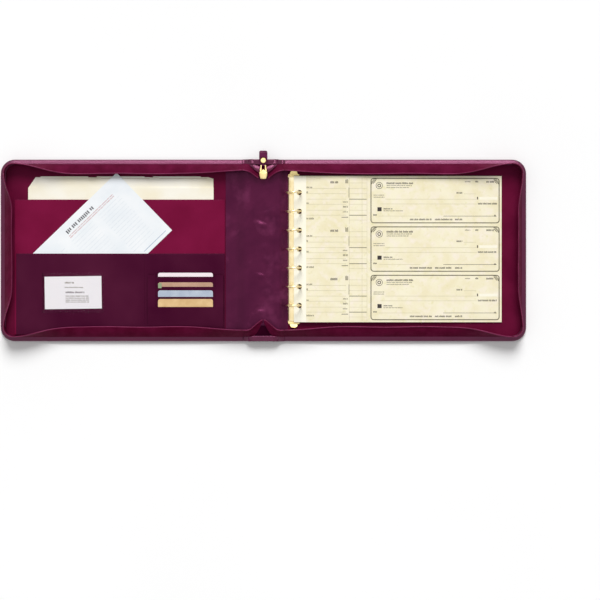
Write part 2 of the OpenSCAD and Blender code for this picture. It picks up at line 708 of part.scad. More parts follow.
// Leather tab: a narrow throat folded round the link's bar, then the wide tab with a rounded end
module pull_tab() color(dark_leather) in_case() on_pull() difference() {
    r = tab_w * 0.22;
    throat_half = link_window_half - seat_gap;
    union() {
        across_pull(link_len, tab_end_t / 2, throat_half);
        translate([0, 0, -tab_end_t / 2]) linear_extrude(tab_end_t) {
            translate([-throat_half, link_len]) square([2 * throat_half, tab_from - link_len]);
            translate([-tab_w / 2, tab_from]) square([tab_w, pull_len - r - tab_from]);
            translate([r - tab_w / 2, tab_from]) square([tab_w - 2 * r, pull_len - tab_from]);
            for (x = [-1, 1]) translate([x * (tab_w / 2 - r), pull_len - r])
                circle(r = r, $fn = small_steps);
        }
    }
    across_pull(link_len, link_bar_r + link_bar_gap, tab_w);
    translate([0, rivet_v, -tab_end_t]) cylinder(r = rivet_shaft_r, h = 2 * tab_end_t, $fn = small_steps);
}
module pull_rivet() color(brass) in_case() on_pull() translate([0, rivet_v, 0]) {
    translate([0, 0, -tab_end_t / 2]) cylinder(r = rivet_shaft_r, h = tab_end_t, $fn = small_steps);
    for (side = [0, 1]) mirror([0, 0, side]) translate([0, 0, tab_end_t / 2])
        cylinder(d1 = pull_rivet_d, d2 = pull_rivet_d * 0.8, h = rivet_head_t, $fn = small_steps);
}

// A sewn pocket: a sheet over a raised border along its foot and both sides
module pocket(far, near, foot, mouth, z, depth) difference() {
    translate([-far, foot, z]) cube([far - near, mouth - foot, depth + pocket_t]);
    translate([seam_w - far, foot + seam_w, z - overrun])
        cube([far - near - 2 * seam_w, mouth - foot, depth + overrun]);
}
module file_pocket() color("#6c1238") in_case()
    pocket(pocket_far, pocket_near, pocket_foot_y, file_mouth_y, cover_t, file_depth);

// Front pocket: its sheet is cut out round the card panel, and a sewn divider holds it in the middle
module front_pocket() color(dark_leather) in_case() {
    difference() {
        pocket(front_far, pocket_near, pocket_foot_y, front_mouth_y, file_top, front_depth);
        translate([card_x - panel_half - seat_gap, panel_foot_y - seat_gap, file_top - overrun])
            cube([2 * (panel_half + seat_gap), panel_top_y - panel_foot_y + 2 * seat_gap, 2 * cover_t]);
    }
    translate([-divider_reach - seam_w / 4, pocket_foot_y, file_top])
        cube([seam_w / 2, front_mouth_y - pocket_foot_y - 2 * seam_w, front_depth]);
}

// Card panel: a padded wedge under the first card, and a cheek at each end of the slots
module card_panel() color(dark_leather) in_case() {
    wedge_foot = card_foot_y - wedge_gap;
    wedge_z = card_base_z - card_gap + (panel_top_y - lip_y) * tan(card_tilt);
    drop = (panel_foot_y - lip_y + 3 * slot_pitch) * tan(card_tilt);
    translate([card_x - panel_half, 0, 0]) rotate([90, 0, 90]) linear_extrude(2 * panel_half)
        polygon([
            [panel_top_y, panel_z], [panel_top_y, wedge_z], [wedge_foot, panel_z + sole_t],
            [panel_foot_y, panel_z + sole_t], [panel_foot_y, panel_z]
        ]);
    for (x = [card_x - panel_half, card_x + strip_half]) translate([x, 0, 0]) rotate([90, 0, 90])
        linear_extrude(panel_half - strip_half) polygon([
            [panel_top_y, panel_z], [panel_top_y, lip_z], [lip_y - 3 * slot_pitch, lip_z],
            [panel_foot_y, lip_z + drop], [panel_foot_y, panel_z]
        ]);
}

// Frame of one slot: y runs up the card, z over its face, from the middle of the strip's lip
module in_slot(k) translate([card_x, lip_y - k * slot_pitch, card_base_z])
    rotate([card_tilt, 0, 0]) children();
module card_strips() color("#521733") in_case() for (k = [0:3]) {
    to_foot = (lip_y - k * slot_pitch - panel_foot_y) / cos(card_tilt);
    reach = min(to_foot, card_h - card_rise[k]);
    in_slot(k) translate([-strip_half, -reach, strip_rise])
        cube([2 * strip_half, reach, slot_strip_t]);
}

// A plate with four rounded corners, about its own middle
module round_plate(w, h, t, r) linear_extrude(t) {
    square([w - 2 * r, h], center = true);
    square([w, h - 2 * r], center = true);
    for (x = [-1, 1], y = [-1, 1]) translate([x * (w / 2 - r), y * (h / 2 - r)])
        circle(r = r, $fn = small_steps);
}
module plastic_card(k) in_case() in_slot(k) translate([0, card_rise[k] - card_h / 2, 0])
    round_plate(card_w, card_h, card_t, card_r);
module card_1() color("#fbf0f2") plastic_card(0);
module card_2() color("#c9a289") plastic_card(1);
module card_3() color("#bcc8d6") plastic_card(2);
module card_4() color("#e4be88") plastic_card(3);

// ID window: clear vinyl over a border that is open at the top
module id_window() color("#b9a4ad") in_case() translate([window_x - window_w / 2, window_y - window_h / 2, front_top])
    difference() {
        cube([window_w, window_h, window_depth + vinyl_t]);
        translate([window_border, window_border, -overrun])
            cube([window_w - 2 * window_border, window_h, window_depth + overrun]);
    }
module id_card() color(card_white) in_case()
    translate([id_card_x, id_card_y, front_top + paper_gap]) rotate([0, 0, id_card_turn])
        translate([-id_card_w / 2, -id_card_h / 2, 0]) cube([id_card_w, id_card_h, id_card_t]);

// Folder: a sheet with one raised tab, whose left and right ends slope
module folder(layer, tab_x) in_case()
    translate([0, 0, cover_t + paper_gap + layer * (folder_t + folder_gap)]) linear_extrude(folder_t) {
        slope = folder_tab_h * 0.4;
        translate([-folder_far, folder_foot_y]) square([folder_w, folder_top_y - folder_foot_y]);
        translate([tab_x - folder_far, folder_top_y]) polygon([
            [0, 0], [0, -overrun], [folder_tab_w, -overrun], [folder_tab_w, 0],
            [folder_tab_w - slope, folder_tab_h], [slope, folder_tab_h]
        ]);
    }
module folder_left_tab() color("#f3ecd6") folder(2, slot_pitch * 0.8);
module folder_middle_tab() color("#efe6cc") folder(1, slot_pitch * 0.8 + folder_tab_w);
module folder_right_tab() color("#f3ecd6") folder(0, slot_pitch * 0.8 + 2 * folder_tab_w);
module order_form() color("#eef2f6") in_case() translate([form_x, form_y, file_top + paper_gap])
    rotate([0, 0, form_turn]) translate([-form_w / 2, -form_len / 2, 0])
        cube([form_w, form_len, form_t]);

// Handle: a D-shaped tab near each end of the spine, with a slot for the strap
module handle_tabs() color(leather) in_case() for (side = [0, 1]) mirror([0, side, 0]) difference() {
    r = handle_tab_w / 2;
    translate([0, 0, handle_z]) linear_extrude(handle_tab_t) {
        translate([-r, handle_tab_near]) square([handle_tab_w, handle_tab_far - r - handle_tab_near]);
        translate([0, handle_tab_far - r]) circle(r = r, $fn = arc_steps);
    }
    translate([-strap_w / 2 - paper_gap, handle_tab_near - overrun, strap_z - paper_gap])
        cube([strap_w + 2 * paper_gap, strap_reach - handle_tab_near + overrun, strap_t + 2 * paper_gap]);
}
module handle_strap_ends() color(dark_leather) in_case() for (side = [0, 1]) mirror([0, side, 0])
    translate([-strap_w / 2, strap_from, strap_z])
        cube([strap_w, strap_reach - strap_from - paper_gap, strap_t]);

// Grip: wider in the middle, with a bowed outline and softened lower edges
module handle_grip() color(leather) in_case() intersection() {
    bow = (grip_w - grip_end_w) / 2;
    bow_r = (grip_half * grip_half + bow * bow) / (2 * bow);
    translate([0, -grip_half, grip_t]) rotate([-90, 0, 0]) linear_extrude(2 * grip_half) {
        translate([-grip_w / 2, 0]) square([grip_w, grip_t - grip_edge_r]);
        translate([grip_edge_r - grip_w / 2, 0]) square([grip_w - 2 * grip_edge_r, grip_t]);
        for (x = [-1, 1]) translate([x * (grip_w / 2 - grip_edge_r), grip_t - grip_edge_r])
            circle(r = grip_edge_r, $fn = small_steps);
    }
    linear_extrude(grip_t) intersection() {
        translate([grip_w / 2 - bow_r, 0]) circle(r = bow_r, $fn = arc_steps * 2);
        translate([bow_r - grip_w / 2, 0]) circle(r = bow_r, $fn = arc_steps * 2);
        square(2 * grip_half, center = true);
    }
}

back_leather();
back_board();
back_lining();
back_rim();
back_crease_strip();
back_corner_tapes();
ring_base();
ring_cover();
ring_posts();
spine_leather();
spine_board();
spine_lining();
spine_rims();
handle_tabs();
handle_strap_ends();
front_leather();
front_board();
front_lining();
front_rim();
front_crease_strip();
front_corner_tapes();
file_pocket();
front_pocket();
card_panel();
card_strips();
id_window();
folder_left_tab();
folder_middle_tab();
folder_right_tab();
order_form();
back_top_tape();
back_bottom_tape();
back_side_tape();
front_top_tape();
front_bottom_tape();
front_side_tape();
top_end_tape();
slider_body();
bottom_end_tape();
bottom_stop();
pull_link();
pull_tab();
pull_rivet();
left_rings();
left_blade();
right_rings();
right_blade();
top_trigger();
bottom_trigger();
top_check_sheet();
check_stack();
handle_grip();
card_1();
card_2();
card_3();
card_4();
id_card();
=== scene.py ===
# %% [markdown]
# # A zip-round checkbook portfolio, lying open
# The imported model brings every rigid piece at its real size: covers, spine, ring metal, cards and
# papers. This notebook dresses it. Leather, tape and print are added as surfaces worked out with
# numpy, in millimetres about the middle of the case, and many of them ride on the body that carries it.

# %% Load the frame
import math

import bmesh
import bpy
import numpy as np
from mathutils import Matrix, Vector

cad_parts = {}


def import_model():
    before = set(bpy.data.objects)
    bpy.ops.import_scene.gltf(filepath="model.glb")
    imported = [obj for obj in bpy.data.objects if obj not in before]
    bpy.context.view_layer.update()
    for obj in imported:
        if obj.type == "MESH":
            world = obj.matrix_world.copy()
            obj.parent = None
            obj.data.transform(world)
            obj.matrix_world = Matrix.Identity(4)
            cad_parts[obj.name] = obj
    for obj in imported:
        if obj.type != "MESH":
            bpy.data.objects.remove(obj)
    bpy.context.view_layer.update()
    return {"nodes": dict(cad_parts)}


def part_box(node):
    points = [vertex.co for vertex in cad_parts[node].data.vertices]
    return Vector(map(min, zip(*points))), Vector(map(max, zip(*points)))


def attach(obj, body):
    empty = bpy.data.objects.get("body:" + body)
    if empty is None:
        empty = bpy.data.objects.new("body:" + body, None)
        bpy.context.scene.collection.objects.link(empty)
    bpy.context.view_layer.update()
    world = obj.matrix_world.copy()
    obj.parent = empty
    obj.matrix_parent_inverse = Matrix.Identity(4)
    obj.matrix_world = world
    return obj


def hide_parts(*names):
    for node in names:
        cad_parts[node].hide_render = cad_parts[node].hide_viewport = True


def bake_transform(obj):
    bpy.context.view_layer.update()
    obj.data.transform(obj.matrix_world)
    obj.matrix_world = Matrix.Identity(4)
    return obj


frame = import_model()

MM = 0.001
# The covers and the ends of the spine, each with the sign of its x or y
SIDES, ENDS = {"back": 1, "front": -1}, {"top": 1, "bottom": -1}


def node_mm(name):
    """Lowest and highest corner of a CAD node, in millimetres."""
    lo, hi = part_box(name)
    return np.array(lo) / MM, np.array(hi) / MM


def world(points):
    """Millimetres about the middle of the case, turned into metres in the model's frame."""
    return (np.asarray(points, float) + [0, mid_y, 0]) * MM


def spot(x, y, z):
    """One place in the case, in millimetres, as the three metres that a blend asks for."""
    return tuple(world((x, y, z)))


cover_lo, cover_hi = node_mm("back_leather")
mid_y = (cover_lo[1] + cover_hi[1]) / 2
half_h = (cover_hi[1] - cover_lo[1]) / 2
reach = cover_hi[0]
print("case:", 2 * reach, "x", 2 * half_h, "mm, middle at y", round(mid_y, 2))

# %% [markdown]
# ## Surfaces on a grid
# Nearly every soft piece here is a sheet or a tube: a function of two parameters. A sheet could be
# modelled by hand or draped by simulation, but a grid of points worked out as one array keeps each
# curve exact, and any size can still be changed. The helpers here spread coordinates over rows and
# columns, write the quads between neighbours, and make the object.

# %% Helpers: points, faces and objects
def smooth(t):
    """Smoothstep: 3t^2 - 2t^3, held at 0 and 1 outside."""
    t = np.clip(t, 0, 1)
    return t * t * (3 - 2 * t)


def spread(x, y, z):
    """One array of points from three coordinates, each repeated over the others' rows and columns."""
    return np.stack(np.broadcast_arrays(x, y, z), axis=-1)


def make_object(name, points, faces):
    """One object from an array of points and a list or array of faces."""
    mesh = bpy.data.meshes.new(name)
    mesh.from_pydata(world(points).tolist(), [], [list(f) for f in faces])
    mesh.polygons.foreach_set("use_smooth", [True] * len(mesh.polygons))
    obj = bpy.data.objects.new(name, mesh)
    bpy.context.scene.collection.objects.link(obj)
    return obj


def grid_faces(rows, cols, wrap=False, flip=False):
    """Quads between neighbouring rows and columns; wrap joins the last column to the first."""
    last = cols if wrap else cols - 1
    i, j = np.meshgrid(np.arange(rows - 1), np.arange(last), indexing="ij")
    k = (j + 1) % cols
    quads = np.stack([i * cols + j, i * cols + k, (i + 1) * cols + k, (i + 1) * cols + j], axis=-1)
    quads = quads.reshape(-1, 4)
    return quads[:, ::-1] if flip else quads


def recalculate(obj):
    """Turn a closed mesh's faces outward."""
    bm = bmesh.new()
    bm.from_mesh(obj.data)
    bmesh.ops.recalc_face_normals(bm, faces=bm.faces)
    bm.to_mesh(obj.data)
    bm.free()


print("smoothstep at a quarter:", float(smooth(0.25)))
print("a grid of 3 by 4 points has", len(grid_faces(3, 4)), "quads")

# %% [markdown]
# ## Sheets and tubes
# Cloth and leather have a thickness, so a sheet is the grid and a copy of it pushed down its normals,
# joined all round. Rolls, teeth and seams are tubes, which are rings of points along a path with a
# cap at each end.

# %% Helpers: sheets and tubes
SHARP_DEG, TUBE_SIDES = 50, 8


def sheet_piece(name, points, thickness, flip=False):
    """A closed thin sheet: the grid, the same grid pushed down its normals, and a rim between them.

    The normal at each point is the cross product of the grid's two directions."""
    rows, cols = points.shape[:2]
    du = np.gradient(points, axis=0)
    dv = np.gradient(points, axis=1)
    normal = np.cross(dv, du) if flip else np.cross(du, dv)
    normal /= np.maximum(np.linalg.norm(normal, axis=-1, keepdims=True), 1e-9)
    back = points - normal * thickness
    flat = np.concatenate([points.reshape(-1, 3), back.reshape(-1, 3)])
    front = grid_faces(rows, cols, flip=not flip)[:, ::-1]
    behind = grid_faces(rows, cols, flip=flip)[:, ::-1] + rows * cols
    index = np.arange(rows * cols).reshape(rows, cols)
    loop = np.concatenate([index[0, :-1], index[:-1, -1], index[-1, :0:-1], index[:0:-1, 0]])
    nxt = np.roll(loop, -1)
    rim = np.stack([loop, loop + rows * cols, nxt + rows * cols, nxt], axis=-1)
    rim = rim[:, ::-1] if flip else rim
    obj = make_object(name, flat, np.concatenate([front, behind, rim]))
    recalculate(obj)
    obj.data.set_sharp_from_angle(angle=math.radians(SHARP_DEG))
    return obj


def capped_rings(name, rings):
    """A closed skin over rings of points, one ring a row, with the first and last ring filled in."""
    rows, cols = rings.shape[:2]
    faces = grid_faces(rows, cols, wrap=True).tolist()
    faces += [list(range(cols)), list(range((rows - 1) * cols, rows * cols))[::-1]]
    obj = make_object(name, rings.reshape(-1, 3), faces)
    recalculate(obj)
    return obj


def tube_piece(name, path, radius):
    """A round tube along a path, closed with a cap at each end.

    Each ring is path + r cos(a) * side + r sin(a) * up, with side square to the path."""
    path = np.asarray(path, float)
    tangent = np.gradient(path, axis=0)
    tangent /= np.linalg.norm(tangent, axis=1, keepdims=True)
    side = np.cross(tangent, [0, 0, 1.0])
    side /= np.linalg.norm(side, axis=1, keepdims=True)
    other = np.cross(side, tangent)
    a = np.linspace(0, 2 * np.pi, TUBE_SIDES, endpoint=False)
    ring = path[:, None] + radius * (np.cos(a)[None, :, None] * side[:, None]
                                     + np.sin(a)[None, :, None] * other[:, None])
    return capped_rings(name, ring)


print("a tube has", TUBE_SIDES, "sides, and an edge over", SHARP_DEG, "degrees is kept sharp")

# %% [markdown]
# ## Finishes
# The case shows four finishes: pebbled burgundy leather outside, smoother wine-red lining, woven
# tape, and pale polished brass. Each could be an image, but a pattern worked out from the position
# stays sharp at any distance. Effects that several materials share are node groups, built once. The
# helpers here make such a group, and its nodes with their inputs filled.

# %% Helpers: shader groups and their nodes
def new_group(name, inputs, outputs):
    """An empty shader group with float inputs and outputs, and its input and output nodes."""
    tree = bpy.data.node_groups.new(name, "ShaderNodeTree")
    for title, value in inputs.items():
        socket = tree.interface.new_socket(title, in_out="INPUT", socket_type="NodeSocketFloat")
        socket.default_value = value
    for title in outputs:
        tree.interface.new_socket(title, in_out="OUTPUT", socket_type="NodeSocketFloat")
    return tree, tree.nodes.new("NodeGroupInput"), tree.nodes.new("NodeGroupOutput")


def fill(tree, made, inputs):
    """Give a node's inputs their values: a socket is linked, anything else is set."""
    for key, value in inputs.items():
        if isinstance(value, bpy.types.NodeSocket):
            tree.links.new(value, made.inputs[key])
        else:
            made.inputs[key].default_value = value


def node(tree, kind, inputs=None, **settings):
    """One shader node of a kind, with its settings made before its inputs are filled."""
    made = tree.nodes.new("ShaderNode" + kind)
    for key, value in settings.items():
        setattr(made, key, value)
    fill(tree, made, inputs or {})
    return made


def math_node(tree, operation, a, b=None):
    """One Math node; a and b are sockets or numbers."""
    inputs = {0: a} if b is None else {0: a, 1: b}
    return node(tree, "Math", inputs, operation=operation).outputs[0]


def object_coord(tree):
    """The position on a piece in its own metres, which every pattern is worked out from."""
    return node(tree, "TexCoord").outputs["Object"]


print(len(bpy.data.node_groups), "groups before the first is built")

# %% [markdown]
# ## Patterns that several materials share
# Leather grain is a net of creases round small cells, with a finer noise on top. Clouds drift slowly
# between two colours, and stains lay a further tone over part of a surface. Woven tape is a product
# of two waves. Each is a group with named inputs, so every material uses it with its own values.

# %% Grain, clouds, stains and weave
def grain_group():
    """Leather grain: distance to the edge of Voronoi cells, plus fine noise."""
    tree, gin, gout = new_group("leather_grain", {"Scale": 900.0, "Fine": 0.35}, ["Height"])
    coord, scale = object_coord(tree), gin.outputs["Scale"]
    cells = node(tree, "TexVoronoi", {"Vector": coord, "Scale": scale}, feature="DISTANCE_TO_EDGE")
    pit = node(tree, "MapRange", {"From Max": 0.18, "Value": cells.outputs["Distance"]})
    fine_scale = math_node(tree, "MULTIPLY", scale, 0.4)
    noise = node(tree, "TexNoise", {"Detail": 4.0, "Vector": coord, "Scale": fine_scale})
    fine = math_node(tree, "MULTIPLY", noise.outputs["Fac"], gin.outputs["Fine"])
    fill(tree, gout, {"Height": math_node(tree, "ADD", pit.outputs["Result"], fine)})
    return tree


def cloud_group():
    """Slow colour change over a surface: noise pushed apart to use the whole of 0 to 1."""
    tree, gin, gout = new_group("clouds", {"Scale": 30.0, "Detail": 3.0}, ["Mask"])
    noise = node(tree, "TexNoise", {"Vector": object_coord(tree), "Scale": gin.outputs["Scale"],
                                    "Detail": gin.outputs["Detail"]})
    pushed = node(tree, "MapRange", {"From Min": 0.34, "From Max": 0.66, "Value": noise.outputs["Fac"]})
    fill(tree, gout, {"Mask": pushed.outputs["Result"]})
    return tree


def stain_group():
    """Where a second tone lies: a noise as it passes from Low to High."""
    tree, gin, gout = new_group("stains", {"Scale": 30.0, "Low": 0.5, "High": 0.7}, ["Mask"])
    noise = node(tree, "TexNoise", {"Detail": 5.0, "Vector": object_coord(tree),
                                    "Scale": gin.outputs["Scale"]})
    step = node(tree, "MapRange", {"From Min": gin.outputs["Low"], "From Max": gin.outputs["High"],
                                   "Value": noise.outputs["Fac"]})
    fill(tree, gout, {"Mask": step.outputs["Result"]})
    return tree


def weave_group():
    """Woven tape: 0.5 + 0.5 sin(n (x + z)) sin(n (y + z)), with n threads."""
    tree, gin, gout = new_group("weave", {"Threads": 9000.0}, ["Height"])
    split = node(tree, "SeparateXYZ", {0: object_coord(tree)})
    waves = []
    for axis in (0, 1):
        turned = math_node(tree, "ADD", split.outputs[axis], split.outputs[2])
        waves.append(math_node(tree, "SINE", math_node(tree, "MULTIPLY", turned, gin.outputs["Threads"])))
    product = math_node(tree, "MULTIPLY", waves[0], waves[1])
    fill(tree, gout, {"Height": math_node(tree, "ADD", math_node(tree, "MULTIPLY", product, 0.5), 0.5)})
    return tree


GRAIN, CLOUDS, STAINS, WEAVE = grain_group(), cloud_group(), stain_group(), weave_group()
print("shared groups:", [group.name for group in (GRAIN, CLOUDS, STAINS, WEAVE)])

# %% [markdown]
# ## One material
# Paint charts give sRGB numbers, while a shader works in linear light, so each colour is turned once.
# A finish then has two tones in clouds, a pattern pressed into its height, and a tinted reflection.

# %% Helper: one material
def linear(rgb):
    """sRGB from 0 to 255, as written in a paint chart, to the linear colour a shader wants."""
    c = np.asarray(rgb, float) / 255
    low = c / 12.92
    high = ((c + 0.055) / 1.055) ** 2.4
    return (*np.where(c <= 0.04045, low, high), 1.0)


def finish(name, light, dark, rough, clouds=30.0, bump=None, metallic=0.0, gloss=0.5,
           tint=(255, 255, 255), rough_dark=None):
    """A Principled material whose colour drifts from dark to light in clouds, with a bumped height.

    bump is (group, scale, strength, depth in millimetres); gloss and tint set the reflection."""
    mat = bpy.data.materials.new(name)
    mat.use_nodes = True
    tree = mat.node_tree
    shader = tree.nodes["Principled BSDF"]
    cloud = node(tree, "Group", {"Scale": clouds}, node_tree=CLOUDS).outputs["Mask"]
    mix = node(tree, "Mix", {"A": linear(dark), "B": linear(light), "Factor": cloud}, data_type="RGBA")
    fill(tree, shader, {"Roughness": rough, "Metallic": metallic, "Specular IOR Level": gloss,
                        "Specular Tint": linear(tint), "Base Color": mix.outputs["Result"]})
    if rough_dark is not None:
        drift = node(tree, "MapRange", {"To Min": rough_dark, "To Max": rough, "Value": cloud})
        fill(tree, shader, {"Roughness": drift.outputs["Result"]})
    if bump is not None:
        press(tree, shader, *bump)
    return mat


def press(tree, shader, group, scale, strength, depth):
    """Let a shared pattern stand out of the surface by a depth in millimetres."""
    pattern = node(tree, "Group", {0: scale}, node_tree=group)
    bumper = node(tree, "Bump", {"Strength": strength, "Distance": depth * MM,
                                 "Height": pattern.outputs[0]})
    fill(tree, shader, {"Normal": bumper.outputs["Normal"]})


def second_tone(mat, colour, scale, low, high):
    """Lay a second colour over a finish where a noise passes from low to high."""
    tree = mat.node_tree
    shader = tree.nodes["Principled BSDF"]
    first = shader.inputs["Base Color"].links[0].from_socket
    stain = node(tree, "Group", {"Scale": scale, "Low": low, "High": high}, node_tree=STAINS)
    mix = node(tree, "Mix", {"A": first, "B": linear(colour), "Factor": stain.outputs["Mask"]},
               data_type="RGBA")
    fill(tree, shader, {"Base Color": mix.outputs["Result"]})


print("mid grey in linear light:", round(float(linear((128, 128, 128))[0]), 3))

# %% [markdown]
# ## The colours
# Each colour pair is the lit and the shaded tone of one material. The leather's reflection is tinted
# pink, as a dyed and waxed hide gives. White reflections would turn the wine red to grey, so the
# tint is kept in the shader and not painted on.

# %% Leather, tape and thread
PINK = (255, 128, 196)
cover_leather = finish("cover_leather", (82, 20, 50), (72, 12, 42), 0.42, 22, (GRAIN, 700, 0.5, 0.25),
                       gloss=0.34, tint=PINK, rough_dark=0.46)
rim_leather = finish("rim_leather", (66, 14, 38), (54, 6, 30), 0.3, 40, (GRAIN, 900, 0.3, 0.2),
                     gloss=0.85, tint=(255, 158, 206))
spine_leather = finish("spine_leather", (70, 18, 46), (50, 6, 32), 0.3, 20, (GRAIN, 800, 0.25, 0.2),
                       gloss=0.5, tint=PINK)
# The pocket leather's slow, wide clouds are painted sheen: broad lighter patches stand for soft reflections.
pocket_leather = finish("pocket_leather", (72, 20, 44), (50, 0, 27), 0.36, 9, (GRAIN, 900, 0.2, 0.15),
                        gloss=0.22, tint=PINK)
file_leather = finish("file_leather", (116, 14, 54), (106, 8, 46), 0.42, 20, (GRAIN, 900, 0.2, 0.15),
                      gloss=0.25, tint=PINK)
lining_red = finish("lining_red", (96, 10, 44), (82, 2, 34), 0.48, 24, (GRAIN, 1000, 0.25, 0.1),
                    gloss=0.25, tint=PINK)
tape_cloth = finish("tape_cloth", (86, 8, 42), (70, 0, 28), 0.7, 50, (WEAVE, 9000, 0.5, 0.15),
                    gloss=0.2, tint=PINK)
teeth_plastic = finish("teeth_plastic", (100, 26, 56), (80, 12, 40), 0.35, 60, gloss=0.6, tint=PINK)
thread = finish("thread", (108, 34, 68), (86, 20, 50), 0.55, 300, gloss=0.4, tint=PINK)
print(len(bpy.data.materials), "finishes for leather and cloth")

# %% [markdown]
# ## Metal, paper and card
# The brass is polished on the rings and rougher where it is cast, on the slider. Papers are matt and
# nearly white with a warm cloud; the plastic cards are smoother, so they keep the usual reflection.

# %% Metal, board, papers and cards
board_card = finish("board_card", (150, 130, 104), (128, 108, 84), 0.85, 60, (GRAIN, 2500, 0.3, 0.1))
brass = finish("brass", (240, 224, 184), (226, 206, 156), 0.28, 90, (GRAIN, 300, 0.04, 0.05),
               metallic=1.0)
cast_brass = finish("cast_brass", (236, 218, 160), (216, 192, 128), 0.5, 90, (GRAIN, 300, 0.05, 0.05),
                    metallic=1.0)
check_paper = finish("check_paper", (249, 242, 214), (242, 232, 196), 0.75, 42, (GRAIN, 1500, 0.12, 0.05),
                     gloss=0.15)
margin_paper = finish("margin_paper", (255, 252, 236), (254, 248, 226), 0.75, 20, gloss=0.15)
folder_card = finish("folder_card", (252, 249, 240), (246, 238, 214), 0.7, 14, (GRAIN, 2000, 0.1, 0.05),
                     gloss=0.15)
folder_shade = finish("folder_shade", (214, 202, 180), (192, 178, 156), 0.7, 60, gloss=0.1)
form_paper = finish("form_paper", (246, 248, 250), (236, 241, 245), 0.65, 24, gloss=0.15)
white_card = finish("white_card", (255, 244, 248), (252, 238, 243), 0.35, 20)
orange_card = finish("orange_card", (206, 166, 140), (188, 148, 122), 0.35, 60)
blue_card = finish("blue_card", (196, 207, 221), (176, 188, 206), 0.35, 60)
gold_card = finish("gold_card", (236, 200, 146), (216, 176, 120), 0.35, 60)
business_paper = finish("business_paper", (255, 254, 255), (252, 251, 254), 0.6, 20, gloss=0.15)
card_green = finish("card_green", (150, 164, 128), (134, 150, 112), 0.35, 60)
print(len(bpy.data.materials), "finishes with metal, papers and cards")

# %% [markdown]
# ## Inks and clear vinyl
# Print on a photograph this small is never black, because each letter is paler than its ink. So the
# inks are mid tones. The window's vinyl is nearly clear. The second tones on the spine's leather are
# painted shade and painted highlight of its wrinkles, laid in random patches; on the check paper they
# are its marbling.

# %% Inks, vinyl and second tones
def printing_ink(name, light, dark, clouds):
    """Matt printing ink."""
    return finish(f"ink_{name}", light, dark, 0.7, clouds, gloss=0.1)


ink_brown = printing_ink("brown", (134, 128, 108), (112, 106, 88), 200)
ink_black = printing_ink("black", (78, 72, 70), (54, 50, 52), 200)
ink_grey = printing_ink("grey", (120, 118, 122), (88, 86, 92), 200)
ink_pale = printing_ink("pale", (222, 214, 182), (208, 200, 166), 120)
ink_blue = printing_ink("blue", (200, 210, 222), (176, 190, 208), 120)
ink_faint = printing_ink("faint", (228, 233, 238), (216, 223, 230), 40)
ink_red = printing_ink("red", (210, 150, 150), (190, 124, 124), 120)


def clear_vinyl():
    """Clear sheet: mostly see-through, with a gloss of its own."""
    mat = bpy.data.materials.new("clear_vinyl")
    mat.use_nodes = True
    shader = mat.node_tree.nodes["Principled BSDF"]
    fill(mat.node_tree, shader, {"Base Color": linear((120, 66, 94)), "Roughness": 0.2,
                                 "Specular IOR Level": 0.2, "Alpha": 0.05})
    press(mat.node_tree, shader, CLOUDS, 60.0, 0.25, 0.4)
    return mat


vinyl = clear_vinyl()
# Painted shade (dark patches) and painted highlight (pink patches) for the spine's wrinkles, at random places.
second_tone(spine_leather, (44, 4, 28), 26, 0.5, 0.7)
second_tone(spine_leather, (88, 32, 62), 34, 0.56, 0.74)
second_tone(check_paper, (250, 240, 222), 90, 0.48, 0.72)
second_tone(check_paper, (234, 226, 178), 150, 0.58, 0.8)


def paint(obj, mat):
    """Give a piece one material."""
    obj.data.materials.clear()
    obj.data.materials.append(mat)
    return obj


print(len(bpy.data.materials), "materials in all")

# %% [markdown]
# ## The rigid pieces keep their shape
# Plates, rings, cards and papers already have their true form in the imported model, so they only
# take a finish. A CAD piece's mesh is never edited; its material slots are set one by one.

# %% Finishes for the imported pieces
# frame["nodes"] maps each node's name to its object
NODE_FINISH = {
    cover_leather: ["back_leather", "front_leather", "spine_leather", "handle_tabs", "handle_grip"],
    rim_leather: ["back_rim", "front_rim", "spine_rims"],
    file_leather: ["file_pocket"],
    board_card: ["back_board", "front_board", "spine_board"],
    lining_red: ["back_lining", "front_lining"],
    spine_leather: ["spine_lining", "handle_strap_ends", "pull_tab", "bottom_stop", "back_crease_strip",
                    "front_crease_strip"],
    pocket_leather: ["front_pocket", "card_panel", "card_strips"],
    brass: ["ring_base", "ring_cover", "ring_posts", "left_rings", "right_rings", "left_blade",
            "right_blade"],
    cast_brass: ["slider_body", "pull_link", "pull_rivet", "top_trigger", "bottom_trigger"],
    check_paper: ["top_check_sheet"],
    margin_paper: ["check_stack"],
    folder_card: ["folder_left_tab", "folder_middle_tab", "folder_right_tab"],
    form_paper: ["order_form"],
    white_card: ["card_1"],
    orange_card: ["card_2"],
    blue_card: ["card_3"],
    gold_card: ["card_4"],
    business_paper: ["id_card"],
    vinyl: ["id_window"],
    tape_cloth: [name for name in frame["nodes"] if "tape" in name],
}
for mat, names in NODE_FINISH.items():
    for name in names:
        obj = frame["nodes"][name]
        if not obj.material_slots:
            obj.data.materials.append(mat)
        for slot in obj.material_slots:
            slot.material = mat
print(sum(map(len, NODE_FINISH.values())), "packed pieces finished")

# %% [markdown]
# ## The padded rim
# A roll of leather runs round three edges of each cover. It could be bevelled from a plate, but a
# section carried along the edge gives the soft, slightly uneven roll of hand-turned leather.

# %% Rim: the path along the cover's edge
RIM_W, RIM_BASE, RIM_H = 8.5, 4.2, 3.2
CORNER_R, EDGE_STEP, CORNER_STEPS, SIDE_STEPS = 22.0, 4.0, 14, 60
RIM_FROM = 30.9


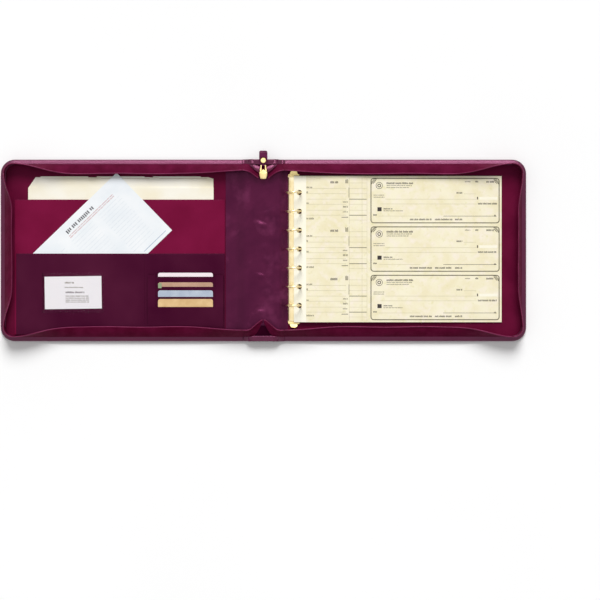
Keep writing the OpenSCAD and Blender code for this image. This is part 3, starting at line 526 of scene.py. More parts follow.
def edge_path(inset, start_x):
    """Points and outward headings along a cover's edge, from the spine at the top, round both corners.

    Every point is a centre + r (cos a, sin a). On a straight stretch the centre moves; in a corner
    the angle a turns."""
    r = CORNER_R - inset
    cx, cy = reach - CORNER_R, half_h - CORNER_R
    top_x = np.arange(start_x, cx, EDGE_STEP)
    a = np.linspace(np.pi / 2, 0, CORNER_STEPS)[:-1]
    side_y = np.linspace(cy, -cy, SIDE_STEPS)[:-1]
    b = np.linspace(0, -np.pi / 2, CORNER_STEPS)[:-1]
    stretches = [(top_x, cy, np.pi / 2), (cx, cy, a), (cx, side_y, 0), (cx, -cy, b),
                 (top_x[::-1], -cy, -np.pi / 2)]
    x, y, turn = np.concatenate([np.broadcast_arrays(*row) for row in stretches], axis=1)
    heading = np.stack([np.cos(turn), np.sin(turn)], 1)
    return np.stack([x, y], 1) + r * heading, heading


print("edge path:", len(edge_path(RIM_W / 2, RIM_FROM)[0]), "points from x", RIM_FROM)

# %% [markdown]
# ## The rim's section
# The roll is highest near its inner edge, where the leather is folded over the lining, and falls away
# outward. A plain half circle would throw its highlight on the middle of the rim. The photograph
# shows the highlight further in, and this section puts it there.

# %% Rim: the section, carried along the path
ROUND_IN, ROUND_OUT, FALL, FALL_POWER, UNDER = 0.14, 0.2, 0.8, 1.3, -0.2
# Slow swellings of the roll: share of its height, length in millimetres per radian, and shift
SWELLS = [(0.03, 17, 0), (0.02, 7.3, 1)]


def rim_height(u):
    """Share of the rim's height at u, 0 inside to 1 outside: (1 - 0.8 u^1.3), rounded at both edges.

    The rounding is the root of a smoothstep over the first 0.14 and the last 0.2 of the width."""
    return (1 - FALL * u ** FALL_POWER) * np.sqrt(smooth(u / ROUND_IN) * smooth((1 - u) / ROUND_OUT))


def rim_piece(name, sign):
    """The section along a cover's edge, with a height that swells a little: 1 + sum of h sin(run / l + s)."""
    xy, heading = edge_path(RIM_W / 2, RIM_FROM)
    u = np.concatenate([np.linspace(0, 0.12, 5), np.linspace(0.2, 0.8, 9), np.linspace(0.84, 1, 7)])
    w = np.concatenate([(u - 0.5) * RIM_W, [0.5 * RIM_W, -0.5 * RIM_W]])
    h = np.concatenate([rim_height(u) * RIM_H, [UNDER, UNDER]])
    run = np.concatenate([[0], np.cumsum(np.linalg.norm(np.diff(xy, axis=0), axis=1))])
    swell = 1 + sum(high * np.sin(run / length + shift) for high, length, shift in SWELLS)
    pts = np.empty((len(xy), len(w), 3))
    pts[..., :2] = xy[:, None] + heading[:, None] * w[None, :, None]
    pts[..., 2] = RIM_BASE + h[None] * np.where(h > 0, swell[:, None], 1)
    pts[..., 0] *= sign
    return paint(capped_rings(name, pts), rim_leather)


for side, sign in SIDES.items():
    rim = rim_piece(f"{side}_padded_rim", sign)
    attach(rim, f"{side}_cover")
    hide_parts(f"{side}_rim")
print("rim:", RIM_W, "mm wide and", RIM_H, "mm high")

# %% [markdown]
# ## The zipper tape
# A woven tape stands on the inner side of the rim and leans inward when the case lies open. At the
# corners it stands upright. Flat strips would break there, so the lean is eased along the edge, and
# the section has a slight S-curve. The corner stretches ride on their cover, and the leaning edges
# are left unattached where they lie.

# %% Tape: one leaning section, and the strip it is cut from
FOOT_IN = RIM_W - RIM_H * 0.4
TAPE_Z, TAPE_L, TAPE_T, TEETH_R = 7.5, 16.5, 0.8, 0.85
BOW, RIPPLE, RIPPLE_RUN = 1.0, 0.5, 19


def tape_section(foot, inward, lean, along):
    """Points up the tape: foot + s (inward sin(lean) + up cos(lean)), bowed by a half sine.

    A slow ripple along the edge gives cloth that isn't drawn tight."""
    s = np.linspace(0, 1, 9)
    lean = np.radians(lean)[:, None]
    bow = BOW * np.sin(np.pi * s)[None] * np.sin(lean)
    ripple = RIPPLE * np.sin(along / RIPPLE_RUN)[:, None] * np.sin(np.pi * s / 2)[None] * np.sin(lean)
    out = s[None] * TAPE_L * np.sin(lean) - bow * np.cos(lean) - ripple
    up = s[None] * TAPE_L * np.cos(lean) + bow * np.sin(lean)
    pts = np.empty((len(foot), len(s), 3))
    pts[..., :2] = foot[:, None] + inward[:, None] * out[..., None]
    pts[..., 2] = TAPE_Z + up
    return pts


print("tape:", TAPE_L, "mm wide, from", TAPE_Z, "mm above the table")

# %% [markdown]
# ## The tape round one cover
# The lean differs from edge to edge, as gravity and the pull of the stitches leave it: most along
# the top and bottom, less on the sides, and none in the corners, where the tape can't lean without
# stretching. Each edge is a sheet with its row of teeth, which is a thin tube along the free side.

# %% Tape: three leaning edges and two upright corners
EDGE_LEAN, EDGE_RUN = 66.0, 95.0
SIDE_LEAN, SIDE_HALF = {"back": 24.0, "front": 47.0}, 60.0
CREASE_X, CREASE_LEAN, CREASE_RUN = 31.0, 38.0, 95.0
FOOT_X, FOOT_Y = reach - FOOT_IN, half_h - FOOT_IN
TEETH_UP, RIPPLE_SHIFT, BLEND_X, BLEND_Z = 0.1, 40, 200, 10


def tape_grids(side):
    """The five stretches of one cover's tape as grids of points, by the name of their edge."""
    cx, cy = reach - CORNER_R, half_h - CORNER_R
    x = np.concatenate([np.arange(CREASE_X, cx - EDGE_RUN, 5), np.linspace(cx - EDGE_RUN, cx, 26)])
    lean = EDGE_LEAN * (1 - smooth((x - cx + EDGE_RUN) / EDGE_RUN))
    lean -= (EDGE_LEAN - CREASE_LEAN) * (1 - smooth((x - CREASE_X) / CREASE_RUN))
    y = np.linspace(-cy, cy, 61)
    side_lean = SIDE_LEAN[side] * (1 - smooth((np.abs(y) - SIDE_HALF) / (cy - SIDE_HALF)))
    parts = {}
    for edge, up in ENDS.items():
        foot = np.stack([x, np.full_like(x, up * FOOT_Y)], 1)
        parts[edge] = tape_section(foot, np.tile([0.0, -up], (len(x), 1)), lean, x + RIPPLE_SHIFT * up)
    foot = np.stack([np.full_like(y, FOOT_X), y], 1)
    parts["side"] = tape_section(foot, np.tile([-1.0, 0], (len(y), 1)), side_lean, y)
    a = np.linspace(0, np.pi / 2, 15)
    for edge, up in (("top_corner", 1), ("bottom_corner", -1)):
        head = np.stack([np.cos(a), up * np.sin(a)], 1)
        foot = np.array([cx, up * cy]) + (CORNER_R - FOOT_IN) * head
        parts[edge] = tape_section(foot, -head, np.zeros_like(a), a)
    return parts


def tape_set(side, sign):
    """The tape round one cover: a sheet and a row of teeth for each stretch."""
    for edge, pts in tape_grids(side).items():
        pts[..., 0] *= sign
        sheet = paint(sheet_piece(f"{side}_{edge}_gusset", pts, TAPE_T), tape_cloth)
        lip = pts[:, -1] + [0, 0, TEETH_UP]
        teeth = paint(tube_piece(f"{side}_{edge}_teeth", lip, TEETH_R), teeth_plastic)
        for piece in (sheet, teeth):
            ride_tape(piece, side, edge)
        if "corner" not in edge:
            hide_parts(f"{side}_{edge}_tape")
        elif edge == "top_corner":
            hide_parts(f"{side}_corner_tapes")


def ride_tape(piece, side, edge):
    """Attach a corner stretch to its cover; a leaning edge only has its transform baked in."""
    cover = f"{side}_cover"
    if "corner" in edge:
        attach(piece, cover)
        return
    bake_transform(piece)


for side, sign in SIDES.items():
    tape_set(side, sign)
print("lean in degrees:", EDGE_LEAN, "top and bottom,", SIDE_LEAN, "on the sides")

# %% [markdown]
# ## Leather over the creases
# One dark leather strip covers the spine and runs on over both covers. On the real case it is a
# single loose piece that wrinkles. Each half here is a grid whose height follows the spine, dips
# into the crease and meets the cover, with pinched wrinkles added.

# %% Spine lining: a wrinkled sheet in two halves
SPINE_TOP, STRIP_TOP, SPINE_EDGE, FALL_END = 11.3, 5.15, 23.6, 46.0
LINING_HALF, LINING_T, FOOT_SHORT, CALMER = 133.2, 0.5, 0.6, 0.6
WAVE, WAVE_Y, WAVE_X, WAVE_SWAY, WAVE_FADE, PINCH = 0.4, 21, 11, 1.4, 20, 1.7
# Each dimple: place x and y, half width, half height and depth, in millimetres, and its turn in degrees
DIMPLES = [(-2.0, 44, 8, 9, 2.6, -22), (-2.5, -35, 8, 8.5, 2.3, -14), (-4.5, -93, 6, 6, 1.3, 0),
           (5, 64, 14, 14, 1.5, 35), (-8, 84, 10, 16, 1.3, 60), (6, -62, 12, 18, 1.3, 80),
           (-11, 8, 8, 22, 1.1, 72), (11, 16, 7, 26, 1.0, 100), (0, 103, 14, 10, 0.9, 10)]


def wrinkles(x, y):
    """Sum of pinched dimples, each a ridge beside a groove under a Gaussian, and slow long waves.

    In a dimple's own turned directions u and v, its height is -d exp(-u^2 - v^2) sin(1.7 v)."""
    z = WAVE * np.sin(y / WAVE_Y + WAVE_SWAY * np.sin(x / WAVE_X)) * np.exp(-(x / WAVE_FADE) ** 2)
    for cx, cy, wide, high, depth, turn in DIMPLES:
        c, s = math.cos(math.radians(turn)), math.sin(math.radians(turn))
        u = ((x - cx) * c + (y - cy) * s) / wide
        v = ((y - cy) * c - (x - cx) * s) / high
        z = z - depth * np.exp(-u * u - v * v) * np.sin(PINCH * v)
    return z


def spine_sheet(sign, far):
    """Height over the half spine: flat on the spine, an S down through the crease, flat on the cover.

    z = top + (strip - top) * smoothstep((x - edge) / (foot - edge)), with the wrinkles added."""
    x = np.concatenate([np.linspace(0, SPINE_EDGE, 28), np.linspace(SPINE_EDGE + 1, far, 22)])
    y = np.linspace(-LINING_HALF, LINING_HALF, 240)
    gx, gy = np.meshgrid(x, y, indexing="ij")
    foot = min(far, FALL_END) - FOOT_SHORT
    fall = smooth((gx - SPINE_EDGE) / (foot - SPINE_EDGE))
    floor_z = SPINE_TOP + (STRIP_TOP - SPINE_TOP) * fall
    z = np.maximum(floor_z + wrinkles(sign * gx, gy) * (1 - CALMER * fall), floor_z)
    return np.stack([sign * gx, gy, z], axis=-1)


for side, sign, far in (("back", 1, 38.2), ("front", -1, 59.0)):
    pts = spine_sheet(sign, far)
    half = sheet_piece(f"{side}_spine_lining", pts, LINING_T, flip=sign < 0)
    paint(half, spine_leather)
    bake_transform(half)
    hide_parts(f"{side}_crease_strip")
print("spine strip:", len(DIMPLES), "dimples, deepest", max(row[4] for row in DIMPLES), "mm")

# %% [markdown]
# ## Outer leather across each crease
# Outside, the same hide runs from the spine over each crease to the cover. Closed, it is the rounded
# corner of the case's back. A sheet fills the crease here, where two stiff plates would leave a gap;
# it is shaped for the open case and is not bent with the fold.

# %% Outer leather
CREASE_FROM, CREASE_WIDE, CREASE_HIGH, CREASE_DROP, CREASE_T = 17.0, 12.5, 6.8, 6.2, 0.6
for side, sign in SIDES.items():
    t = np.linspace(0, 1, 16)[:, None]
    pts = spread(sign * (CREASE_FROM + CREASE_WIDE * t), np.linspace(-half_h, half_h, 60)[None],
                 CREASE_HIGH - CREASE_DROP * smooth(t * 1.05))
    web = sheet_piece(f"{side}_outer_crease", pts, CREASE_T, flip=sign < 0)
    paint(web, cover_leather)
    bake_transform(web)
print("outer leather falls", CREASE_DROP, "mm over", CREASE_WIDE, "mm")

# %% [markdown]
# ## Rim and tape across the creases
# On the real case the rolled rim and the zipper tape run on over both creases. At the spine's upper
# end the tape runs into the slider; at the lower end its two halves meet in a point, and the tape in
# the fold between them is painted dark as shade. Each stretch is a ruled sheet between two smooth
# curves, one for the foot and one for the toothed edge, so the shape is set by a few points that are
# easy to move.

# %% Helpers: curves, rim links and tape gores
def curve(points, count=24):
    """Catmull-Rom spline through the points: 0.5 (2p1 + (p2-p0)t + (2p0-5p1+4p2-p3)t^2 + ...)."""
    p = np.asarray(points, float)
    p = np.concatenate([[2 * p[0] - p[1]], p, [2 * p[-1] - p[-2]]])
    t = np.linspace(0, len(p) - 3, count)
    i = np.minimum(t.astype(int), len(p) - 4)
    f = (t - i)[:, None]
    p0, p1, p2, p3 = p[i], p[i + 1], p[i + 2], p[i + 3]
    return 0.5 * (2 * p1 + (p2 - p0) * f + (2 * p0 - 5 * p1 + 4 * p2 - p3) * f ** 2
                  + (3 * p1 - p0 - 3 * p2 + p3) * f ** 3)


GORE_BOW, GORE_T, GORE_TEETH_R, GORE_TEETH_UP = 0.8, 0.7, 0.9, 0.4
LINK_T, LINK_HIGH, LINK_FROM, LINK_RUN = 0.6, 11.0, 17.5, 13


def gore(name, foot, lip, mirror):
    """A tape between a foot curve and a lip curve: (1-s) foot + s lip, bowed upward by a half sine."""
    a, b = curve(foot) * mirror, curve(lip) * mirror
    s = np.linspace(0, 1, 8)[None, :, None]
    pts = a[:, None] * (1 - s) + b[:, None] * s
    pts[..., 2] += GORE_BOW * np.sin(np.pi * s[..., 0])
    sheet = paint(sheet_piece(name, pts, GORE_T), tape_cloth)
    teeth = paint(tube_piece(name + "_teeth", b + [0, 0, GORE_TEETH_UP], GORE_TEETH_R), teeth_plastic)
    return sheet, teeth


def rim_link(name, mirror):
    """The rolled rim from the spine down to the cover: the rim's section, lowered by a smoothstep."""
    x = np.linspace(15.5, 32.5, 18)[:, None]
    base = LINK_HIGH - (LINK_HIGH - RIM_BASE) * smooth((x - LINK_FROM) / LINK_RUN)
    u = np.linspace(0, 1, 13)[None]
    pts = spread(x, half_h - RIM_W * (1 - u), base + rim_height(u) * (RIM_H - 0.1))
    return paint(sheet_piece(name, pts * mirror, LINK_T), rim_leather)


print("curve check, middle of three points:", curve([(0, 0, 0), (1, 1, 0), (2, 0, 0)], 3)[1])

# %% [markdown]
# ## The stretches over the creases
# The outer gore runs from the cover's tape to the spine's end. The inner one runs on to the slider at
# the top, and to the stop at the bottom. Points are given for one quarter of the case and mirrored.

# %% Rim links and gores, four of each
LIP_OUT = TAPE_L * math.sin(math.radians(CREASE_LEAN))
LIP_UP = TAPE_Z + TAPE_L * math.cos(math.radians(CREASE_LEAN))
FOOT_END, LIP_FROM = (15, FOOT_Y - 1.6, 12.6), (CREASE_X + 1, FOOT_Y - LIP_OUT, LIP_UP)
OUTER_FOOT = [(CREASE_X + 1, FOOT_Y, TAPE_Z), (26, FOOT_Y, 9.0), (20.5, FOOT_Y - 0.3, 11.2), FOOT_END]
OUTER_LIP = {"top": [LIP_FROM, (26, 123.4, 20.8), (20.5, 121.4, 20.2), (15, 117.8, 19.4)],
             "bottom": [LIP_FROM, (26, 124.6, 21), (20.5, 123.2, 20.6), (15, 118.8, 20.2)]}
INNER_FOOT = {"top": [FOOT_END, (11, 131.5, 13.2), (8.2, 127.6, 14.0), (7.4, 123.5, 15.2)],
              "bottom": [FOOT_END, (10.5, 129.5, 13.6), (6, 122, 16), (2.0, 114.5, 18.6)]}
INNER_LIP = {"top": [(15, 117.8, 19.4), (12, 115.6, 18.9), (9.6, 113.8, 18.6), (7.6, 112.4, 18.4)],
             "bottom": [(15, 118.8, 20.2), (10, 114.6, 20), (5, 110.6, 20), (0.9, 108.4, 20)]}
for edge, up in ENDS.items():
    for side, sign in SIDES.items():
        mirror = np.array([sign, up, 1.0])
        link = rim_link(f"{side}_{edge}_rim_link", mirror)
        outer = gore(f"{side}_{edge}_outer_gore", OUTER_FOOT, OUTER_LIP[edge], mirror)
        for piece in (link, *outer):
            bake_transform(piece)
        for piece in gore(f"{side}_{edge}_inner_gore", INNER_FOOT[edge], INNER_LIP[edge], mirror):
            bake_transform(piece)
# Painted shade: the tape inside the fold at the spine's lower end takes a dark finish for the hollow.
tape_shadow = finish("tape_shadow", (50, 2, 26), (34, 0, 18), 0.8, 60, (WEAVE, 9000, 0.5, 0.15),
                     gloss=0.1, tint=PINK)
for slot in frame["nodes"]["bottom_end_tape"].material_slots:
    slot.material = tape_shadow
print("gores from", CREASE_X, "mm to the spine, toothed edge at", round(LIP_UP, 1), "mm")

# %% [markdown]
# ## Turned leather at the spine's ends
# The cover leather is turned over each end of the spine, so no board shows there. A thin wrapped strip
# stands for the turning: a flat band over the end face, with its long edges rounded.

# %% Turned ends
TURN_HALF, TURN_T, TURN_LOW, TURN_HIGH, TURN_BULGE = 23.4, 0.5, 7.0, 11.4, 0.25
for edge, up in ENDS.items():
    z = np.linspace(TURN_LOW, TURN_HIGH, 9)
    bulge = TURN_BULGE * np.sin(np.pi * (z - TURN_LOW) / (TURN_HIGH - TURN_LOW))
    pts = spread(np.linspace(-TURN_HALF, TURN_HALF, 12)[:, None], up * (half_h + bulge), z)
    band = sheet_piece(f"{edge}_spine_turning", pts, TURN_T, flip=up > 0)
    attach(paint(band, cover_leather), "spine")
print("turned ends:", 2 * TURN_HALF, "mm wide")

# %% [markdown]
# ## Slider shield
# The slider is a cast shield, pointed where the link hangs. Its rim is rounded over and its face
# swells, so the metal shades softly instead of flashing as one flat plate.

# %% Shield
SHIELD = [(0, 126.0), (1.6, 125.2), (6.0, 121.6), (6.5, 120.9), (5.9, 116.0), (4.6, 112.0), (4.0, 111.2),
          (0, 110.9)]
SHIELD_TOP, SHIELD_DOME, SHIELD_WALL, SHIELD_FOOT, SHIELD_MID = 20.6, 1.7, 18.4, 13.2, 118.2
FOOT_SCALE, FACE_SCALE, DOME_END = 0.9, 0.55, 0.985


def shield_piece(name):
    """Rings of one outline drawn in towards the middle: scale 1 at the foot, sqrt(1 - t^2) over the top."""
    right = curve(np.array([[x, y, 0] for x, y in SHIELD]), 40)[:, :2]
    outline = np.concatenate([right, right[::-1] * [-1, 1]])
    t = np.linspace(0, DOME_END, 9)
    round_over = FACE_SCALE + (1 - FACE_SCALE) * np.sqrt(1 - t[1:] ** 2)
    scale = np.concatenate([[FOOT_SCALE, 1.0], round_over, [0.35, 0.04]])
    z = np.concatenate([[SHIELD_FOOT, SHIELD_WALL], SHIELD_WALL + SHIELD_DOME * t[1:],
                        [SHIELD_TOP - 0.2, SHIELD_TOP]])
    mid = np.array([0, SHIELD_MID])
    rings = mid + (outline - mid)[None] * scale[:, None, None]
    return capped_rings(name, spread(rings[..., 0], rings[..., 1], z[:, None]))


shield = paint(shield_piece("slider_shield"), cast_brass)
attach(shield, "top_zipper_end")
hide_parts("slider_body")
print("shield:", 2 * max(x for x, y in SHIELD), "mm wide")

# %% [markdown]
# ## The leather pull
# The pull is a folded strip that droops a little from the rivet to its end. The fold shows as a soft
# roll across the end. Round the rivet's head, where the leather is pressed in, a dark ring is painted shade.

# %% Fold and painted shade round the rivet
def node_case(name):
    """A node's corners in millimetres about the middle of the case."""
    lo, hi = node_mm(name)
    return lo - [0, mid_y, 0], hi - [0, mid_y, 0]


DROOP_DEG, TAB_X, TAB_FOLD_Y, FOLD_R = 6, 6.0, 152.4, 0.9
RIVET_Y, RIVET_R, SHADE_RING_R = 139.75, 4.95, 0.55
tab_lo, tab_hi = node_case("pull_tab")


def tab_top(y):
    """Height of the drooping pull's upper face: top - tan(droop) (y - root)."""
    return tab_hi[2] - math.tan(math.radians(DROOP_DEG)) * (y - tab_lo[1])


fold = spread(np.linspace(-TAB_X, TAB_X, 14), TAB_FOLD_Y, tab_top(TAB_FOLD_Y) - 0.2)
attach(paint(tube_piece("pull_tab_fold", fold, FOLD_R), rim_leather), "zipper_pull")
# The dark ring round the rivet is painted shade.
turn = np.linspace(0, 2 * np.pi, 41)
ring_y = RIVET_Y + RIVET_R * np.sin(turn)
ring = spread(RIVET_R * np.cos(turn), ring_y, tab_top(ring_y))
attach(paint(tube_piece("pull_rivet_painted_shade", ring, SHADE_RING_R), tape_shadow), "zipper_pull")
print("pull's root at height", round(float(tab_top(tab_lo[1])), 2))

# %% [markdown]
# ## The leather flap beside the slider
# The spine's leather is turned in beside the link as a V, which covers the ends of both tapes. Each
# half is a ruled sheet from the rim to a line beside the shield, bowed a little as leather is.

# %% Flap
FLAP_T, FLAP_BOW = 0.7, 0.8
FLAP_RIM = [(-21.5, 133.4, 14.6), (-16, 133.0, 17.2), (-10, 131.2, 18.2), (-5.4, 129.4, 18.6)]
FLAP_TIP = [(-17.5, 129.0, 16.8), (-13.4, 125.6, 19.2), (-9.6, 122.6, 19.9), (-7.2, 121.4, 19.8)]
for word, mirror in (("left", 1), ("right", -1)):
    rim_line, tip_line = (curve(np.array(line) * [mirror, 1, 1], 18) for line in (FLAP_RIM, FLAP_TIP))
    s_across = np.linspace(0, 1, 10)[:, None, None]
    pts = (1 - s_across) * rim_line[None] + s_across * tip_line[None]
    pts[..., 2] += FLAP_BOW * np.sin(np.pi * s_across[..., 0])
    flap = paint(sheet_piece(f"{word}_spine_flap", pts, FLAP_T, flip=mirror > 0), rim_leather)
    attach(flap, "top_zipper_end")
    print(flap.name, len(flap.data.vertices), "points")

# %% [markdown]
# ## Pocket edges and stitches
# Each pocket's mouth is a turned edge, which shows as a thin roll of leather, with a row of stitches
# below it. Stitches could be an image, but a mesh of small pods, one per stitch, catches the light as
# thread does. A pod is a six-pointed spindle: two ends on the seam, four points round its middle.

# %% Helpers: rows of stitches and rolled edges
STITCH, PITCH, THREAD_R = 2.0, 3.2, 0.28


def stitch_rows(name, seams, body):
    """One mesh of stitches along straight seams, each given as its two end points."""
    pods = []
    for start, end in seams:
        start, end = np.asarray(start, float), np.asarray(end, float)
        length = np.linalg.norm(end - start)
        along = (end - start) / length
        side = np.cross(along, [0, 0, 1.0])
        mid = start + along * (np.arange(PITCH / 2, length, PITCH)[:, None])
        ends = [mid - along * STITCH / 2, mid + along * STITCH / 2]
        up = np.array([0, 0, 1.0])
        pods.append(np.stack(ends + [mid + THREAD_R * d for d in (side, up, -side, -up)], axis=1))
    pods = np.concatenate(pods)
    one = np.array([(0, 3, 2), (0, 4, 3), (0, 5, 4), (0, 2, 5), (1, 2, 3), (1, 3, 4), (1, 4, 5), (1, 5, 2)])
    faces = (one[None] + 6 * np.arange(len(pods))[:, None, None]).reshape(-1, 3)
    obj = paint(make_object(name, pods.reshape(-1, 3), faces), thread)
    recalculate(obj)
    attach(obj, body)
    print(name, len(pods), "stitches")


def rolled_edge(name, start, end, radius, mat, body):
    """A thin roll of leather along a pocket's mouth."""
    t = np.linspace(0, 1, 60)[:, None]
    path = np.asarray(start, float) * (1 - t) + np.asarray(end, float) * t
    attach(paint(tube_piece(name, path, radius), mat), body)


print("a stitch is", STITCH, "mm long, one every", PITCH, "mm")

# %% [markdown]
# ## Where the rolls and seams run
# The mouths of both pockets are rolled, and each has a seam just under the roll. Seams also hold the
# sides of the file pocket, and a pressed crease with a seam on each side divides the front pocket
# from the card panel. The business card slides out over the front pocket, so rolls and stitches are
# sunk out of its way.

# %% Pocket mouths, seams and the divider
file_lo, file_hi = node_case("file_pocket")
front_lo, front_hi = node_case("front_pocket")
panel_lo = node_case("card_panel")[0]
EDGE_R, EDGE_SUNK, SEAM_IN, SEAM_UP, SEAM_END = 0.55, 0.5, 3.0, -0.2, 4
seams = []
for name, lo, hi in (("file_pocket", file_lo, file_hi), ("front_pocket", front_lo, front_hi)):
    mouth_y, mouth_z = hi[1] - EDGE_R, hi[2] - EDGE_SUNK
    rolled_edge(f"{name}_mouth", (lo[0], mouth_y, mouth_z), (hi[0], mouth_y, mouth_z),
                EDGE_R, rim_leather, "front_cover")
    seam_y, seam_z = hi[1] - SEAM_IN, hi[2] + SEAM_UP
    seams.append(((lo[0] + SEAM_END, seam_y, seam_z), (hi[0] - SEAM_END, seam_y, seam_z)))
file_z, front_z = file_hi[2] + SEAM_UP, front_hi[2] + SEAM_UP
for x in (file_hi[0] - SEAM_IN, file_lo[0] + SEAM_IN):
    seams.append(((x, front_hi[1], file_z), (x, file_hi[1] - 5, file_z)))
DIVIDER, DIVIDER_SEAM, DIVIDER_R, DIVIDER_SUNK = 5.5, 1.6, 0.5, 0.3
divider_x, divider_z = panel_lo[0] - DIVIDER, front_hi[2] - DIVIDER_SUNK
for x in (divider_x - DIVIDER_SEAM, divider_x + DIVIDER_SEAM):
    seams.append(((x, front_lo[1] + SEAM_END, front_z), (x, front_hi[1] - SEAM_IN, front_z)))
stitch_rows("pocket_stitches", seams, "front_cover")
rolled_edge("divider_crease", (divider_x, front_lo[1] + 3, divider_z),
            (divider_x, front_hi[1] - 1, divider_z), DIVIDER_R, pocket_leather, "front_cover")

# %% [markdown]
# ## The folders' spare sheet
# Behind the three tabs a paper sheet shows above the pocket, cut lower at its left end. Where one tab
# stands before the next, the shadow of its edge is painted as a thin grey line. Both are flat shapes
# given by corners.

# %% Spare sheet and painted tab shadows
FOLDER_LEFT, FOLDER_RIGHT, TAB_LEFT, TAB_RIGHT = -368.0, -78.0, -356.5, -86.0
FOLDER_LOW, FOLDER_BODY, FOLDER_HIGH, SPARE_Z, SPARE_T = 20, 98.5, 114.6, 4.25, 0.15
outline = [(FOLDER_LEFT + 0.5, FOLDER_LOW), (FOLDER_RIGHT - 0.3, FOLDER_LOW),
           (FOLDER_RIGHT - 0.3, FOLDER_HIGH - 2.5), (TAB_RIGHT, FOLDER_HIGH),
           (TAB_LEFT, FOLDER_HIGH), (FOLDER_LEFT + 0.5, FOLDER_BODY)]
sides = len(outline)
walls = [[i, (i + 1) % sides, (i + 1) % sides + sides, i + sides] for i in range(sides)]
points = [(x, y, z) for z in (SPARE_Z, SPARE_Z + SPARE_T) for x, y in outline]
spare = make_object("folder_spare_sheet", points,
                    [list(range(sides))[::-1], list(range(sides, 2 * sides))] + walls)
spare.data.set_sharp_from_angle(angle=math.radians(30))
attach(paint(spare, folder_card), "front_cover")
TAB_SHADOW_Z, TAB_SHADOW_W = 4.96, 0.6
# Each painted shadow line: first and last x, and its lower edge
TAB_SHADOWS = [(-270.5, -254, 113.2), (-178, -163, 113.2), (-254, -178, 112.2), (-163, -88, 112.2)]
corners = [xy for x0, x1, y in TAB_SHADOWS
           for xy in ((x0, y), (x1, y), (x1, y + TAB_SHADOW_W), (x0, y + TAB_SHADOW_W))]
tab_shadow_marks = make_object("folder_tab_painted_shadows", [(x, y, TAB_SHADOW_Z) for x, y in corners],
                        np.arange(len(corners)).reshape(-1, 4))
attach(paint(tab_shadow_marks, folder_shade), "front_cover")
print("spare sheet:", FOLDER_RIGHT - FOLDER_LEFT, "mm wide, with", len(TAB_SHADOWS), "tab lines")

# %% [markdown]
# ## Print: marks laid on paper
# Printed paper could carry an image. Here each mark is a thin four-cornered face a hair above the
# sheet, placed by a rule, so it stays sharp and rides with its paper. Marks of one ink are one mesh.
# A row of small upright bars stands for a line of type, because real wording isn't copied.

# %% Helpers: places on the page, boxes and lines
PHOTO_X, PHOTO_Y, PX_MM = 263.5, 250.5, 1.567


def px(x):
    """Photograph column to millimetres, for marks that are placed one by one."""
    return (np.asarray(x, float) - PHOTO_X) * PX_MM


def py(y):
    """Photograph row to millimetres."""
    return (PHOTO_Y - np.asarray(y, float)) * PX_MM


def boxes(rows):
    """Four corners of each rectangle (x0, y0, x1, y1)."""
    b = np.asarray(rows, float).reshape(-1, 4)
    x0, x1 = np.minimum(b[:, 0], b[:, 2]), np.maximum(b[:, 0], b[:, 2])
    y0, y1 = np.minimum(b[:, 1], b[:, 3]), np.maximum(b[:, 1], b[:, 3])
    return np.stack([x0, y0, x1, y0, x1, y1, x0, y1], 1).reshape(-1, 4, 2)


def line_marks(x0, x1, ys, width):
    """Level lines from x0 to x1 at each height of ys."""
    return boxes([(x0, y - width / 2, x1, y + width / 2) for y in np.atleast_1d(ys)])


print("one photograph pixel is", PX_MM, "mm")

# %% [markdown]
# ## Frames, ornaments and rows of type
# A frame is two outlines joined by quads. A corner ornament is a fan of wedges. A row of type is made
# of bars whose heights come from a seeded generator, so each run of the script draws the same rows.

# %% Helpers: marks that are more than a box
rng = np.random.default_rng(7)
CORNER_POINTS, WEDGES, WEDGE_HALF = 7, 5, 0.3
# Bars of type, in shares: the lowest of a row's height, a bar of its letter, a gap between words
BAR_LOW, BAR_WIDE, WORD_GAP = 0.75, 0.62, 0.7


def rounded_frame(x0, y0, x1, y1, r, w):
    """A frame of width w with round corners: the outer and the inner outline, joined by quads.

    Each corner is centre + r (cos a, sin a); the inner one has the radius r - w."""
    a = np.linspace(0, np.pi / 2, CORNER_POINTS)
    angles = np.concatenate([a, a + np.pi / 2, a + np.pi, a + 1.5 * np.pi])
    cx = np.repeat([x1 - r, x0 + r, x0 + r, x1 - r], CORNER_POINTS)
    cy = np.repeat([y1 - r, y1 - r, y0 + r, y0 + r], CORNER_POINTS)
    ring = np.stack([np.cos(angles), np.sin(angles)], 1)
    centre = np.stack([cx, cy], 1)
    outer, inner = centre + r * ring, centre + (r - w) * ring
    return np.stack([outer, np.roll(outer, -1, 0), np.roll(inner, -1, 0), inner], 1)


def type_row(x0, x1, y0, y1, letter):
    """A row of upright bars in words of three to eight letters, from x0 to x1."""
    rows, x = [], min(x0, x1)
    while x < max(x0, x1) - letter:
        for _ in range(int(rng.integers(3, 9))):
            if x > max(x0, x1) - letter:
                break
            high = (y1 - y0) * (BAR_LOW + (1 - BAR_LOW) * rng.random())
            rows.append((x, y0, x + letter * BAR_WIDE, y0 + high))
            x += letter
        x += letter * WORD_GAP
    return boxes(rows)


def fan(x, y, r0, r1, start):
    """A corner ornament: short wedges spread over a quarter turn about a point."""
    a = np.radians(start + (np.arange(WEDGES) + 0.5) * 90 / WEDGES)
    half = math.radians(90 / WEDGES * WEDGE_HALF)
    ring = [(r0, a - half), (r1, a - half), (r1, a + half), (r0, a + half)]
    return np.stack([np.stack([x + r * np.cos(t), y + r * np.sin(t)], 1) for r, t in ring], 1)


